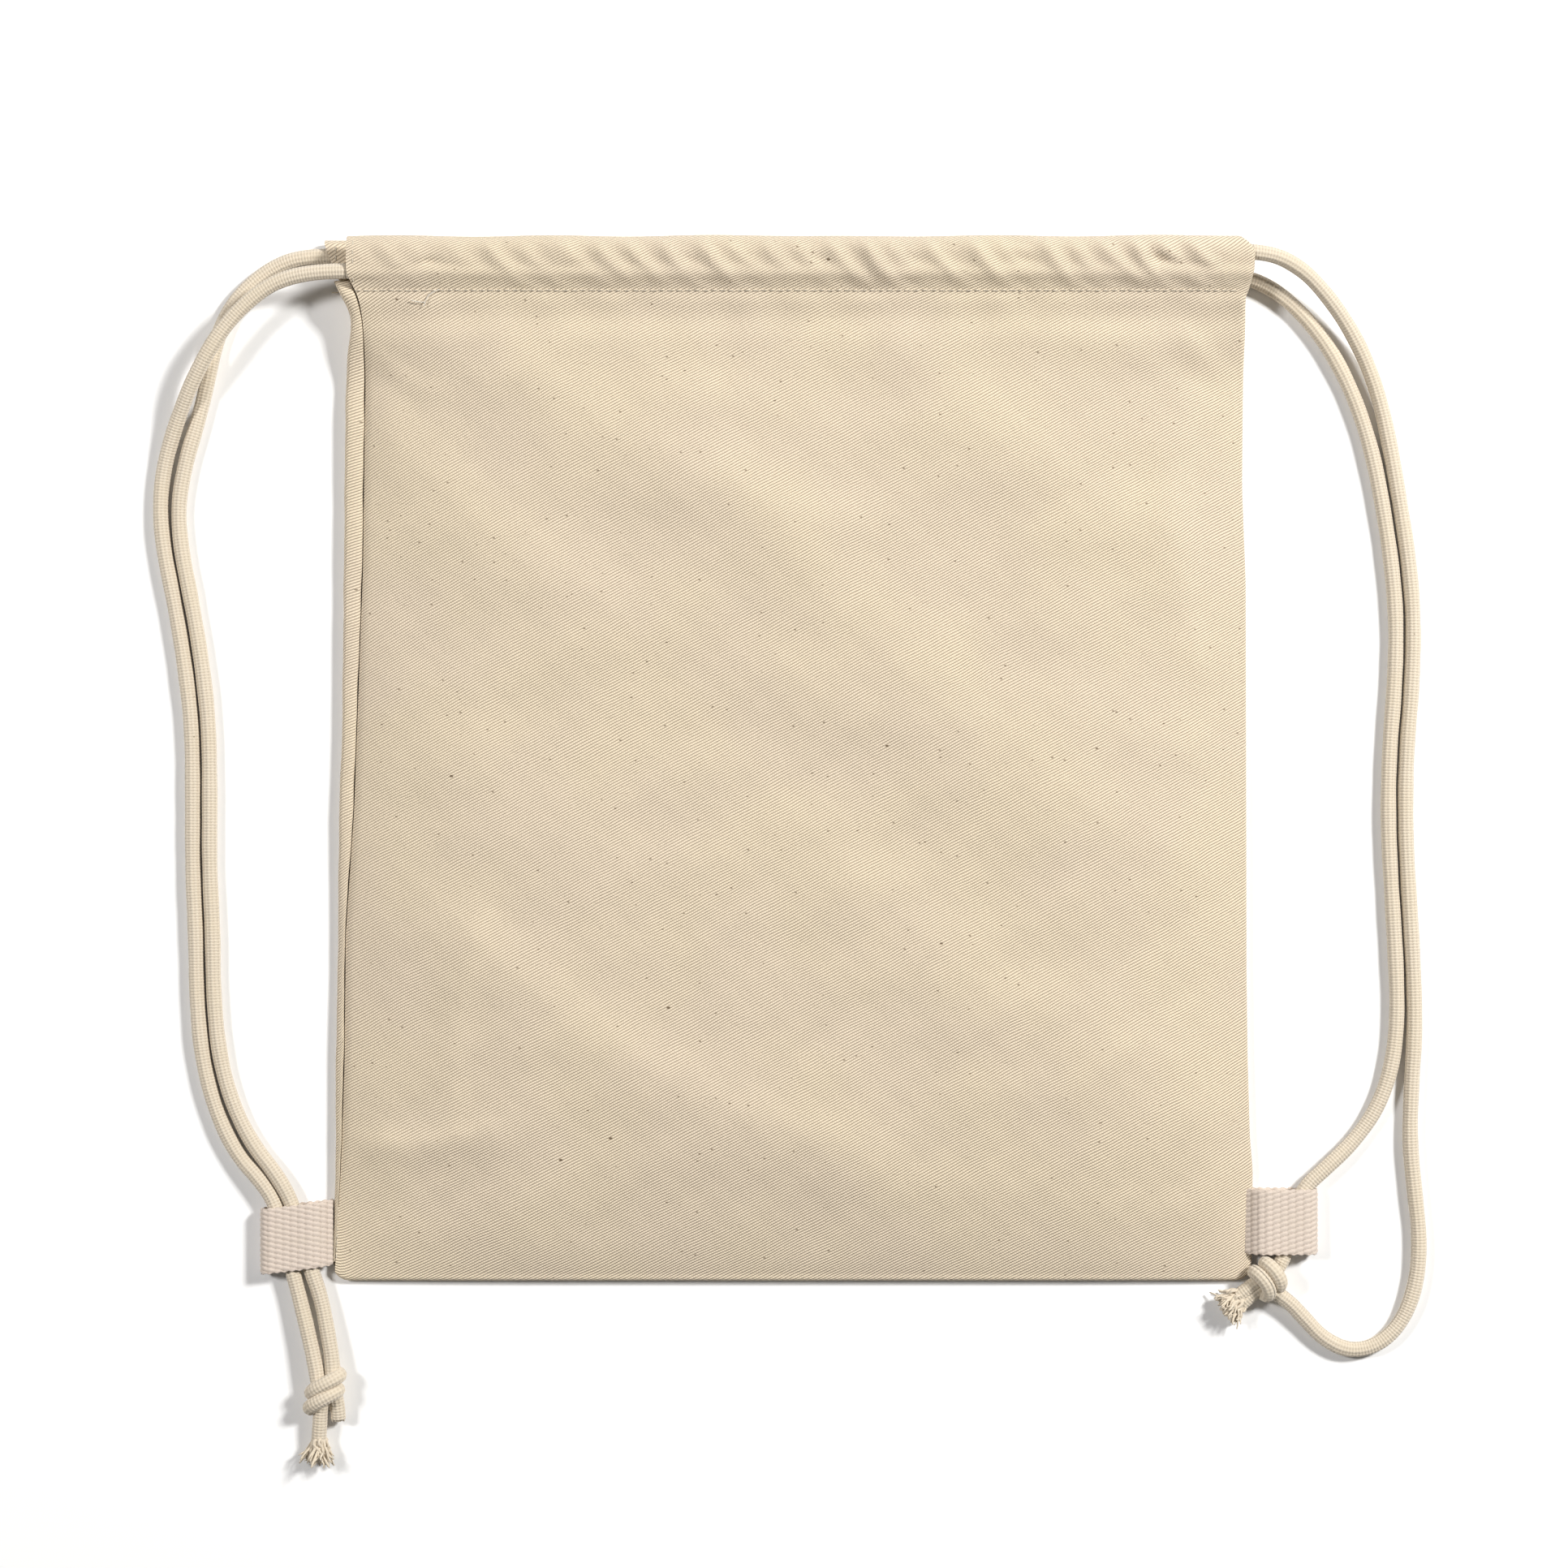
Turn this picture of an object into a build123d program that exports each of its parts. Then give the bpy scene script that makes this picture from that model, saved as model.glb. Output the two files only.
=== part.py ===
"""Drawstring backpack, lying on its back with its mouth towards +Y.

A flat canvas bag with a drawcord channel along each side of its mouth. Two drawcords each go
round the mouth through both channels. The two ends of a cord leave on one side, run down as a
shoulder strap to a webbing tab in the bottom corner, and are knotted together there.
Millimetres, +Z up, origin on the floor under the middle of the bag and its tabs.
"""

from build123d import *
import math
import os

# Bag
bag_length = 400.0          # bottom edge to the mouth's edge, along Y
top_half_width = 171.5      # at the channels
bottom_half_width = 176.5
corner_radius = 8.0
fabric = 0.8                # one layer of canvas
seam_width = 8.0            # turned-in seam allowance
flange_width = 5.0          # flat rim of the front panel on the seam
front_slope_width = 40.0    # from the rim up to the flat of the front panel

# Drawcord and its channels
cord_diameter = 6.0
channel_width = 20.8        # along Y, without the stitched flange
channel_flange = 1.9        # two stitched layers between a channel and its panel
channel_clearance = 0.3     # above and below the cord
lane_gap = 1.5              # between the two cords in one channel
mouth_gap = 5.0             # between the two channels
front_channel_shift = (3.0, 0.5)    # each end of a channel, to the right of the bag's corner there
back_channel_shift = (-4.5, -7.0)
turn_window_clearance = 0.7
turn_window_inset = 1.0     # of an opening for a half turn, towards the middle of the bag
round_end_flat = 0.05       # half of what stays straight at a channel's two round edges

# Webbing tabs
tab_width = 25.0            # along Y
tab_length = 26.5           # outer end of a tab, beyond the bag's bottom corner
webbing = 1.3
left_tab_rise = 17.0        # middle of a tab above the bag's bottom edge
right_tab_rise = 23.0
slot_clearance = 0.6        # inside the loop, more than a cord's diameter
tab_root_radius = 1.6       # the rolled end that the tab bends on
tab_gap = 0.3               # between the tab's root and the side seam

# Threads, knots and cord ends
thread = 0.5
overlock_thread = 1.0
end_stitch_inset = 2.5      # from a channel's mouth to its row of stitches
bartack_inset = 1.2
knot_radius = 6.9
knot_half_length = 9.0
knot_gap = 0.3
tip_length = 10.0
tip_radius = 4.4
knot_cut_margin = 2.0       # of the shape that halves a knot's section, beyond the knot
bend_share = 0.45           # of the shorter run beside a bend, which its arc takes up
parting_gap = 0.3           # between the front panel and the front channel, which parts from it

# What follows from them
cord_radius = cord_diameter / 2
half_length = bag_length / 2
front_channel_ends = (-top_half_width + front_channel_shift[0], top_half_width + front_channel_shift[1])
back_channel_ends = (-top_half_width + back_channel_shift[0], top_half_width + back_channel_shift[1])
channel_height = cord_diameter + 2 * channel_clearance + 2 * fabric
lane_spacing = cord_diameter + lane_gap
front_channel_z = channel_height + mouth_gap
front_run_z = front_channel_z + channel_height / 2
back_run_z = channel_height / 2
channel_y = half_length - channel_width / 2
lane_high = channel_y + lane_spacing / 2
lane_low = channel_y - lane_spacing / 2
panel_top_y = half_length - channel_width - channel_flange
front_rim_z = 3 * fabric
front_flat_z = front_run_z - fabric / 2
turn_radius = math.hypot(lane_spacing, front_run_z - back_run_z) / 2
turn_reach = turn_radius + cord_radius
right_turn_x = front_channel_ends[1] - turn_reach - turn_window_clearance / 2
left_turn_x = front_channel_ends[0] + turn_reach + turn_window_clearance / 2
tab_reach = bottom_half_width + tab_length
left_tab_y = -half_length + left_tab_rise
right_tab_y = -half_length + right_tab_rise
slot_height = cord_diameter + slot_clearance
tab_cord_z = webbing + slot_height / 2

os.makedirs("parts", exist_ok=True)


def finish(built, name):
    """Labels a finished sub-part and writes its STEP file."""
    built.part.label = name
    export_step(built.part, f"parts/{name}.step")


def half_width(y):
    """Half the bag's width at a distance along it."""
    share = (y + half_length) / (panel_top_y + half_length)
    return bottom_half_width + share * (top_half_width - bottom_half_width)


def outline(inset, top_y):
    """The bag's plan, inset at its sides and bottom and ending at top_y, as corner points."""
    low_y = -half_length + inset
    return [
        (-half_width(low_y) + inset, low_y),
        (half_width(low_y) - inset, low_y),
        (half_width(top_y) - inset, top_y),
        (-half_width(top_y) + inset, top_y),
    ]


def plan(inset, top_y):
    """That plan as a sketch, with its two bottom corners rounded."""
    with BuildSketch() as drawn:
        with BuildLine():
            Polyline(*outline(inset, top_y), close=True)
        make_face()
        fillet(drawn.vertices().group_by(Axis.Y)[0], corner_radius)
    return drawn.sketch


# ---------------------------------------------------------------- panels
with BuildPart() as back_panel:
    with BuildSketch(Plane.XY):
        add(plan(0, panel_top_y))
    extrude(amount=fabric)
finish(back_panel, "back_panel")

front_top_y = panel_top_y - parting_gap
with BuildPart() as front_panel:
    with BuildSketch(Plane.XY.offset(front_rim_z)):
        add(plan(0, front_top_y))
    extrude(amount=fabric)
    with BuildSketch(Plane.XY.offset(front_rim_z + fabric)):
        add(plan(flange_width, front_top_y))
    with BuildSketch(Plane.XY.offset(front_flat_z + fabric)):
        add(plan(flange_width + front_slope_width, front_top_y))
    loft()
    with BuildSketch(Plane.XY.offset(front_rim_z)):
        add(plan(flange_width, front_top_y + fabric))
    with BuildSketch(Plane.XY.offset(front_flat_z)):
        add(plan(flange_width + front_slope_width, front_top_y + fabric))
    loft(mode=Mode.SUBTRACT)
finish(front_panel, "front_panel")

# ---------------------------------------------------------------- seam allowances
seam_plane = Plane.XY.offset(fabric)
seam_low_y = -half_length + corner_radius
for side, name in ((-1, "left"), (1, "right")):
    with BuildPart() as seam:
        with BuildSketch(seam_plane):
            with BuildLine():
                Polyline(
                    (side * half_width(seam_low_y), seam_low_y),
                    (side * (half_width(seam_low_y) - seam_width), seam_low_y),
                    (side * (half_width(front_top_y) - seam_width), front_top_y),
                    (side * half_width(front_top_y), front_top_y),
                    close=True,
                )
            make_face()
        extrude(amount=2 * fabric)
    finish(seam, f"{name}_seam_allowance")

    with BuildPart() as overlock:
        with BuildSketch(seam_plane):
            with BuildLine():
                Polyline(
                    (side * (half_width(seam_low_y) - seam_width), seam_low_y),
                    (side * (half_width(seam_low_y) - seam_width - overlock_thread), seam_low_y),
                    (side * (half_width(front_top_y) - seam_width - overlock_thread), front_top_y),
                    (side * (half_width(front_top_y) - seam_width), front_top_y),
                    close=True,
                )
            make_face()
        extrude(amount=overlock_thread)
    finish(overlock, f"{name}_overlock_thread")

bottom_seam_half = half_width(seam_low_y) - seam_width - overlock_thread
with BuildPart() as bottom_seam:
    with BuildSketch(seam_plane):
        with Locations((0, -half_length)):
            Rectangle(2 * bottom_seam_half, seam_width, align=(Align.CENTER, Align.MIN))
    extrude(amount=2 * fabric)
finish(bottom_seam, "bottom_seam_allowance")

with BuildPart() as bottom_overlock:
    with BuildSketch(seam_plane):
        with Locations((0, -half_length + seam_width)):
            Rectangle(2 * bottom_seam_half, overlock_thread, align=(Align.CENTER, Align.MIN))
    extrude(amount=overlock_thread)
finish(bottom_overlock, "bottom_overlock_thread")


# ---------------------------------------------------------------- channels
def turn_opening(side):
    """Where a cord turns back from one channel into the other: x from, x to."""
    turn_x = right_turn_x if side > 0 else left_turn_x
    return turn_x - side * turn_window_inset, turn_x + side * (turn_reach + turn_window_clearance)


def channel(ends, low_z, flange_low_z):
    """A flat tube of canvas along X with a stitched flange, open where the cords turn back."""
    outer_round = channel_height / 2 - round_end_flat
    with BuildPart() as tube:
        with BuildSketch(Plane.YZ.offset(ends[0])):
            with Locations((channel_y, low_z + channel_height / 2)):
                RectangleRounded(channel_width, channel_height, outer_round)
            with Locations((panel_top_y, flange_low_z)):
                Rectangle(
                    channel_flange + channel_height / 2,
                    2 * fabric,
                    align=(Align.MIN, Align.MIN),
                )
            with Locations((channel_y, low_z + channel_height / 2)):
                RectangleRounded(
                    channel_width - 2 * fabric,
                    channel_height - 2 * fabric,
                    outer_round - fabric,
                    mode=Mode.SUBTRACT,
                )
        extrude(amount=ends[1] - ends[0])
        for side in (-1, 1):
            x_from, x_to = turn_opening(side)
            with Locations(((x_from + x_to) / 2, channel_y, (front_run_z + back_run_z) / 2)):
                Box(
                    abs(x_to - x_from),
                    lane_spacing + cord_diameter + 2 * turn_window_clearance,
                    front_run_z - back_run_z,
                    mode=Mode.SUBTRACT,
                )
    return tube


finish(channel(back_channel_ends, 0, 0), "back_channel")
finish(channel(front_channel_ends, front_channel_z, front_flat_z), "front_channel")


# ---------------------------------------------------------------- stitching
def thread_row(start, end, name):
    """A row of stitches as one thin square rod lying on the cloth."""
    along = Plane(origin=start, z_dir=Vector(*end) - Vector(*start), x_dir=(0, 0, 1))
    with BuildPart() as row:
        with BuildSketch(along):
            Rectangle(thread, thread, align=(Align.MIN, Align.CENTER))
        extrude(amount=(Vector(*end) - Vector(*start)).length)
    finish(row, name)


hem_stitch_y = panel_top_y + channel_flange / 2
for name, ends, z in (
    ("front", front_channel_ends, front_flat_z + 2 * fabric),
    ("back", back_channel_ends, 2 * fabric),
):
    thread_row((ends[0], hem_stitch_y, z), (ends[1], hem_stitch_y, z), f"{name}_hem_stitching")

stitch_half_length = channel_width / 2 - channel_height / 2
for name, ends, top_z in (
    ("front", front_channel_ends, front_channel_z + channel_height),
    ("back", back_channel_ends[:1], channel_height),
):
    with BuildPart() as end_rows:
        for x in ends:
            inward = -math.copysign(1, x)
            with Locations((x + inward * end_stitch_inset, channel_y, top_z)):
                Box(
                    thread,
                    2 * stitch_half_length,
                    thread,
                    align=(Align.CENTER, Align.CENTER, Align.MIN),
                )
    finish(end_rows, f"{name}_channel_end_stitching")

for side, name, tab_y in ((-1, "left", left_tab_y), (1, "right", right_tab_y)):
    tack_z = front_rim_z + fabric
    low_y, high_y = tab_y - tab_width / 2, tab_y + tab_width / 2
    tack_low_y = max(low_y, -half_length + corner_radius)
    thread_row(
        (side * (half_width(tack_low_y) - bartack_inset), tack_low_y, tack_z),
        (side * (half_width(high_y) - bartack_inset), high_y, tack_z),
        f"{name}_tab_bartack",
    )


# ---------------------------------------------------------------- webbing tabs
def tab_root_x(tab_y):
    """The line that a tab bends on, clear of the bag's edge along the whole tab."""
    return half_width(tab_y - tab_width / 2) + tab_gap + tab_root_radius


def tab(side, tab_y):
    """A loop of webbing: two layers that meet in a rolled root and fold over at the outer end."""
    root_x = tab_root_x(tab_y)
    bend = slot_height / 2
    end_x = tab_reach - webbing - bend
    rise_x = root_x + webbing + bend
    with BuildPart() as loop:
        with BuildSketch(Plane.XZ.offset(-tab_y - tab_width / 2)):
            with BuildLine():
                floor_line = Line((root_x, 0), (end_x, 0))
                outer_fold = TangentArc(
                    floor_line @ 1, (end_x, slot_height + 2 * webbing), tangent=(1, 0)
                )
                top_line = Line(outer_fold @ 1, (rise_x, slot_height + 2 * webbing))
                Spline(
                    top_line @ 1, (root_x, 2 * tab_root_radius), tangents=[(-1, 0), (-1, 0)]
                )
                ThreePointArc(
                    (root_x, 2 * tab_root_radius),
                    (root_x - tab_root_radius, tab_root_radius),
                    (root_x, 0),
                )
            make_face()
            with BuildLine():
                slot_floor = Line((rise_x - bend, webbing), (end_x, webbing))
                inner_fold = TangentArc(
                    slot_floor @ 1, (end_x, slot_height + webbing), tangent=(1, 0)
                )
                slot_top = Line(inner_fold @ 1, (rise_x, slot_height + webbing))
                Spline(slot_top @ 1, slot_floor @ 0, tangents=[(-1, 0), (-0.4, -1)])
            make_face(mode=Mode.SUBTRACT)
        extrude(amount=tab_width)
        if side < 0:
            mirror(about=Plane.YZ, mode=Mode.REPLACE)
    return loop


finish(tab(-1, left_tab_y), "left_tab")
finish(tab(1, right_tab_y), "right_tab")


# ---------------------------------------------------------------- drawcords in the channels
def straight_cord(x_from, x_to, y, z):
    """A straight length of cord along X."""
    with BuildPart() as run:
        with BuildSketch(Plane.YZ.offset(x_from)):
            with Locations((y, z)):
                Circle(cord_radius)
        extrude(amount=x_to - x_from)
    return run


def cord_turn(side, front_lane, back_lane):
    """The half turn of a cord from the front channel down into the back one."""
    turn_x = right_turn_x if side > 0 else left_turn_x
    front = Vector(turn_x, front_lane, front_run_z)
    back = Vector(turn_x, back_lane, back_run_z)
    turn_axis = Axis((front + back) / 2, Vector(side, 0, 0).cross(back - front))
    with BuildPart() as turn:
        with BuildSketch(Plane(origin=front, z_dir=(1, 0, 0))):
            Circle(cord_radius)
        revolve(axis=turn_axis, revolution_arc=180)
    return turn


finish(straight_cord(front_channel_ends[0], right_turn_x, lane_low, front_run_z), "left_cord_front_run")
finish(straight_cord(back_channel_ends[0], right_turn_x, lane_high, back_run_z), "left_cord_back_run")
finish(cord_turn(1, lane_low, lane_high), "left_cord_turn")
finish(straight_cord(left_turn_x, front_channel_ends[1], lane_high, front_run_z), "right_cord_front_run")
finish(straight_cord(left_turn_x, back_channel_ends[1], lane_low, back_run_z), "right_cord_back_run")
finish(cord_turn(-1, lane_high, lane_low), "right_cord_turn")

# ---------------------------------------------------------------- knots and cord ends
left_knot_centre = (-177.6, -242.4)
left_knot_heading = (-0.10, -1.0)
right_knot_centre = (181.6, -201.4)
right_knot_heading = (-0.78, -0.62)


def knot_plane(centre, heading):
    """A plane on a knot's middle, with its X along the cords that it ties."""
    return Plane(
        origin=(*centre, knot_radius), x_dir=(*heading, 0), z_dir=(0, 0, 1)
    )


def knot(centre, heading, extra=0.0):
    """A knot as a plain egg-shaped solid, grown by extra where it is used to cut."""
    plane = knot_plane(centre, heading)
    with BuildPart() as tied:
        with BuildSketch(plane):
            Ellipse(knot_half_length + extra, knot_radius + extra)
            Rectangle(
                2 * (knot_half_length + extra) + knot_cut_margin,
                knot_radius + extra + knot_cut_margin,
                align=(Align.CENTER, Align.MAX),
                mode=Mode.SUBTRACT,
            )
        revolve(axis=Axis(plane.origin, plane.x_dir))
    return tied


def cord_ends(ends, tied, name):
    """Cut ends of a cord, each a short stub out of its knot that flares into a frayed tip."""
    with BuildPart() as stubs:
        for start, tip in ends:
            heading = Vector(*tip) - Vector(*start)
            base = Plane(origin=(*start, tip_radius), z_dir=(heading.X, heading.Y, 0))
            stub_length = heading.length - tip_length
            with BuildSketch(base):
                Circle(cord_radius)
            extrude(amount=stub_length)
            with BuildSketch(base.offset(stub_length)):
                Circle(cord_radius)
            with BuildSketch(base.offset(stub_length + tip_length)):
                Circle(tip_radius)
            loft()
        add(tied.part, mode=Mode.SUBTRACT)
    finish(stubs, name)


left_knot = knot(left_knot_centre, left_knot_heading)
right_knot = knot(right_knot_centre, right_knot_heading)
finish(left_knot, "left_knot")
finish(right_knot, "right_knot")
cord_ends(
    [((-180.4, -247.0), (-181.4, -270.0)), ((-173.6, -246.0), (-172.0, -259.0))],
    left_knot,
    "left_cord_ends",
)
cord_ends(
    [((176.0, -203.4), (162.6, -212.2)), ((179.4, -207.4), (169.8, -218.4))],
    right_knot,
    "right_cord_ends",
)

# ---------------------------------------------------------------- free strands of the drawcords
lying = cord_radius  # height of a cord's middle where it lies on the floor

left_front_route = [
    (front_channel_ends[0], lane_low, front_run_z),
    (-180.0, lane_low, front_run_z),
    (-194.5, 182.6, 16.6),
    (-205.6, 175.2, 15.8),
    (-214.6, 166.0, 15.0),
    (-222.4, 154.6, 14.2),
    (-229.6, 141.4, 10.4),
    (-235.6, 127.4, 5.4),
    (-240.2, 112.6, lying),
    (-241.8, 97.0, lying),
    (-240.2, 80.6, lying),
    (-236.4, 62.0, lying),
    (-232.4, 39.0, lying),
    (-229.4, 14.0, lying),
    (-229.0, -12.0, lying),
    (-229.2, -40.0, lying),
    (-227.9, -66.0, lying),
    (-227.6, -90.0, lying),
    (-225.6, -114.0, lying),
    (-220.4, -134.6, lying),
    (-212.2, -151.6, lying),
    (-202.8, -161.4, tab_cord_z),
    (-196.4, -171.4, tab_cord_z),
    (-190.9, -194.4, tab_cord_z),
    (-187.9, -206.0, tab_cord_z),
    (-184.6, -219.0, 5.4),
    (-181.2, -233.0, 6.4),
    (-180.0, -241.0, 6.9),
]
left_back_route = [
    (back_channel_ends[0], lane_high, back_run_z),
    (-186.6, lane_high, back_run_z),
    (-197.2, 189.8, lying),
    (-207.0, 182.8, lying),
    (-215.0, 173.2, lying),
    (-220.2, 161.0, lying),
    (-223.0, 147.0, lying),
    (-226.6, 131.6, lying),
    (-231.6, 115.4, lying),
    (-234.8, 98.0, lying),
    (-233.6, 81.0, lying),
    (-229.8, 62.4, lying),
    (-225.8, 39.4, lying),
    (-222.9, 14.0, lying),
    (-222.5, -12.0, lying),
    (-222.7, -40.0, lying),
    (-221.4, -66.0, lying),
    (-221.1, -90.0, lying),
    (-219.1, -112.6, lying),
    (-214.2, -131.4, lying),
    (-206.4, -147.4, lying),
    (-196.4, -159.4, tab_cord_z),
    (-189.9, -171.4, tab_cord_z),
    (-184.2, -193.4, tab_cord_z),
    (-179.6, -206.0, tab_cord_z),
    (-177.0, -219.0, 5.4),
    (-174.8, -231.0, 6.4),
    (-174.6, -239.0, 6.9),
]
right_front_route = [
    (front_channel_ends[1], lane_high, front_run_z),
    (182.4, lane_high, front_run_z),
    (194.8, 187.8, 14.8),
    (204.6, 178.6, 11.8),
    (213.6, 167.0, 8.6),
    (221.2, 153.6, 5.6),
    (227.2, 137.6, 3.6),
    (231.4, 118.4, lying),
    (234.9, 98.0, lying),
    (238.1, 77.0, lying),
    (240.1, 54.0, lying),
    (239.4, 29.0, lying),
    (237.3, 4.0, lying),
    (236.7, -22.0, lying),
    (238.0, -49.0, lying),
    (239.8, -77.0, lying),
    (240.6, -102.0, lying),
    (239.2, -125.0, lying),
    (238.4, -146.0, lying),
    (240.4, -166.0, lying),
    (242.4, -184.0, lying),
    (241.2, -201.0, lying),
    (235.9, -215.6, lying),
    (226.6, -224.8, lying),
    (215.4, -227.2, lying),
    (205.2, -222.4, lying),
    (197.4, -213.8, 3.6),
    (190.6, -206.6, 5.0),
    (184.4, -202.6, 6.4),
]
right_back_route = [
    (back_channel_ends[1], lane_low, back_run_z),
    (174.4, lane_low, back_run_z),
    (186.0, 181.0, 3.4),
    (196.2, 172.6, lying),
    (205.2, 161.8, lying),
    (212.8, 149.0, lying),
    (219.2, 134.2, lying),
    (224.4, 117.0, lying),
    (228.2, 97.4, lying),
    (231.4, 76.4, lying),
    (233.4, 54.0, lying),
    (232.8, 29.4, lying),
    (230.7, 4.4, lying),
    (230.1, -22.0, lying),
    (231.4, -49.0, lying),
    (233.2, -77.0, lying),
    (233.8, -100.0, lying),
    (231.6, -118.6, lying),
    (226.0, -134.0, lying),
    (217.4, -146.0, lying),
    (207.4, -155.4, tab_cord_z),
    (196.6, -165.0, tab_cord_z),
    (193.6, -177.4, tab_cord_z),
    (190.6, -189.6, tab_cord_z),
    (187.0, -195.8, tab_cord_z),
    (183.6, -200.2, 6.6),
]


def bend_radii(route):
    """The largest tangent arc that the two runs at each corner of a route leave room for."""
    points = [Vector(*p) for p in route]
    radii = []
    for before, corner, after in zip(points, points[1:], points[2:]):
        turn = math.radians((corner - before).get_angle(after - corner))
        shorter = min((corner - before).length, (after - corner).length)
        radii.append(bend_share * shorter / math.tan(turn / 2))
    return radii


def strand(route, name, knot_room):
    """A free strand of cord along its route, ending just short of its knot."""
    radii = bend_radii(route)
    with BuildPart() as tube:
        with BuildLine() as path:
            FilletPolyline(*route, radius=radii)
        with BuildSketch(Plane(origin=path.line @ 0, z_dir=path.line % 0)):
            Circle(cord_radius)
        sweep()
        length = path.wire().length
        swept = tube.part.volume
        add(knot_room, mode=Mode.SUBTRACT)
    expected = math.pi * cord_radius**2 * length
    print(f"{name}: length {length:.1f}, smallest radius {min(radii):.1f},"
          f" volume over section times length {swept / expected:.4f}")
    return tube


for side, knot_place, routes in (
    ("left", (left_knot_centre, left_knot_heading), (left_front_route, left_back_route)),
    ("right", (right_knot_centre, right_knot_heading), (right_front_route, right_back_route)),
):
    knot_room = knot(*knot_place, knot_gap).part
    for lane, route in zip(("front", "back"), routes):
        name = f"{side}_cord_{lane}_strand"
        finish(strand(route, name, knot_room), name)
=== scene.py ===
"""The looks of a drawstring backpack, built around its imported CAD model.

Lengths are written in millimetres and turned into metres where a mesh, a light or the camera is made.
Heights and places come from the frame where the frame holds them.
"""

import math
import random

import bpy
import numpy as np
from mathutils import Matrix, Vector


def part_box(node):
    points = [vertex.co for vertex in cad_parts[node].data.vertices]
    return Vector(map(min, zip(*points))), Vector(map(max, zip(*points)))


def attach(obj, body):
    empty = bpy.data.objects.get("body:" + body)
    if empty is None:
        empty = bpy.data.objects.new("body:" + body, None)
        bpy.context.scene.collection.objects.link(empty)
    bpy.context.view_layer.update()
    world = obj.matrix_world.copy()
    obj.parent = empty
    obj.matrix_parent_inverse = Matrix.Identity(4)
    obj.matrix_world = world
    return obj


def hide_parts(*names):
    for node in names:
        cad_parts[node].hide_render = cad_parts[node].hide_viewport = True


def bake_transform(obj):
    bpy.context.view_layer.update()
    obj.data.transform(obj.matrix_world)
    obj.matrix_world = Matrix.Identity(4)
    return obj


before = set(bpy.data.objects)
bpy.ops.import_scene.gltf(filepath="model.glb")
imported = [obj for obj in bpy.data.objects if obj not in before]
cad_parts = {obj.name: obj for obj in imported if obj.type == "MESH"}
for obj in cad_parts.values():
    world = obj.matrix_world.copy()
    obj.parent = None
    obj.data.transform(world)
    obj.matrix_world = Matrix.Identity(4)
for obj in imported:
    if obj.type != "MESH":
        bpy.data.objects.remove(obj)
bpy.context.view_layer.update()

MM = 0.001
SIDES = {"left": -1, "right": 1}


def box_mm(node):
    """A CAD node's lowest and highest corners, in millimetres."""
    low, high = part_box(node)
    return np.array(low) / MM, np.array(high) / MM


front_low, front_high = box_mm("front_channel")
back_low, back_high = box_mm("back_channel")
mouth_y = front_high[1]                     # the bag's upper edge
bottom_y = box_mm("back_panel")[0][1]
panel_high = box_mm("front_panel")[1]       # the flat of the front panel
tab_low = {side: box_mm(f"{side}_tab")[0] for side in SIDES}
tab_high = {side: box_mm(f"{side}_tab")[1] for side in SIDES}
knot_mid = {side: sum(box_mm(f"{side}_knot")) / 2 for side in SIDES}

CLOTH = 0.8
CORD_RADIUS = 3.0
LANE_OFFSET = 3.75
channel_mid_y = mouth_y - 10.4
lane_high = channel_mid_y + LANE_OFFSET
lane_low = channel_mid_y - LANE_OFFSET
front_run_z = (front_low[2] + front_high[2]) / 2
back_run_z = (back_low[2] + back_high[2]) / 2
tab_cord_z = tab_high["left"][2] / 2
stitch_y = mouth_y - 21.6                   # the row of stitches under the hem

# ------------------------------------------------------------------ camera
VIEW_WIDTH = 603.75
VIEW_CENTRE = (-1.9, -9.2)
LENS = 85.0
SENSOR = 36.0


def add_camera():
    """A camera straight above, framed as in the photograph."""
    data = bpy.data.cameras.new("camera")
    data.type = "PERSP"
    data.lens = LENS
    data.sensor_width = SENSOR
    camera = bpy.data.objects.new("camera", data)
    bpy.context.scene.collection.objects.link(camera)
    height = VIEW_WIDTH * LENS / SENSOR
    camera.location = (VIEW_CENTRE[0] * MM, VIEW_CENTRE[1] * MM, height * MM)
    bpy.context.scene.camera = camera


add_camera()


# ------------------------------------------------------------------ node graphs
FLAT_MAP = "flat"                           # the UV map of a piece as it was before it was bent or folded


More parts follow.
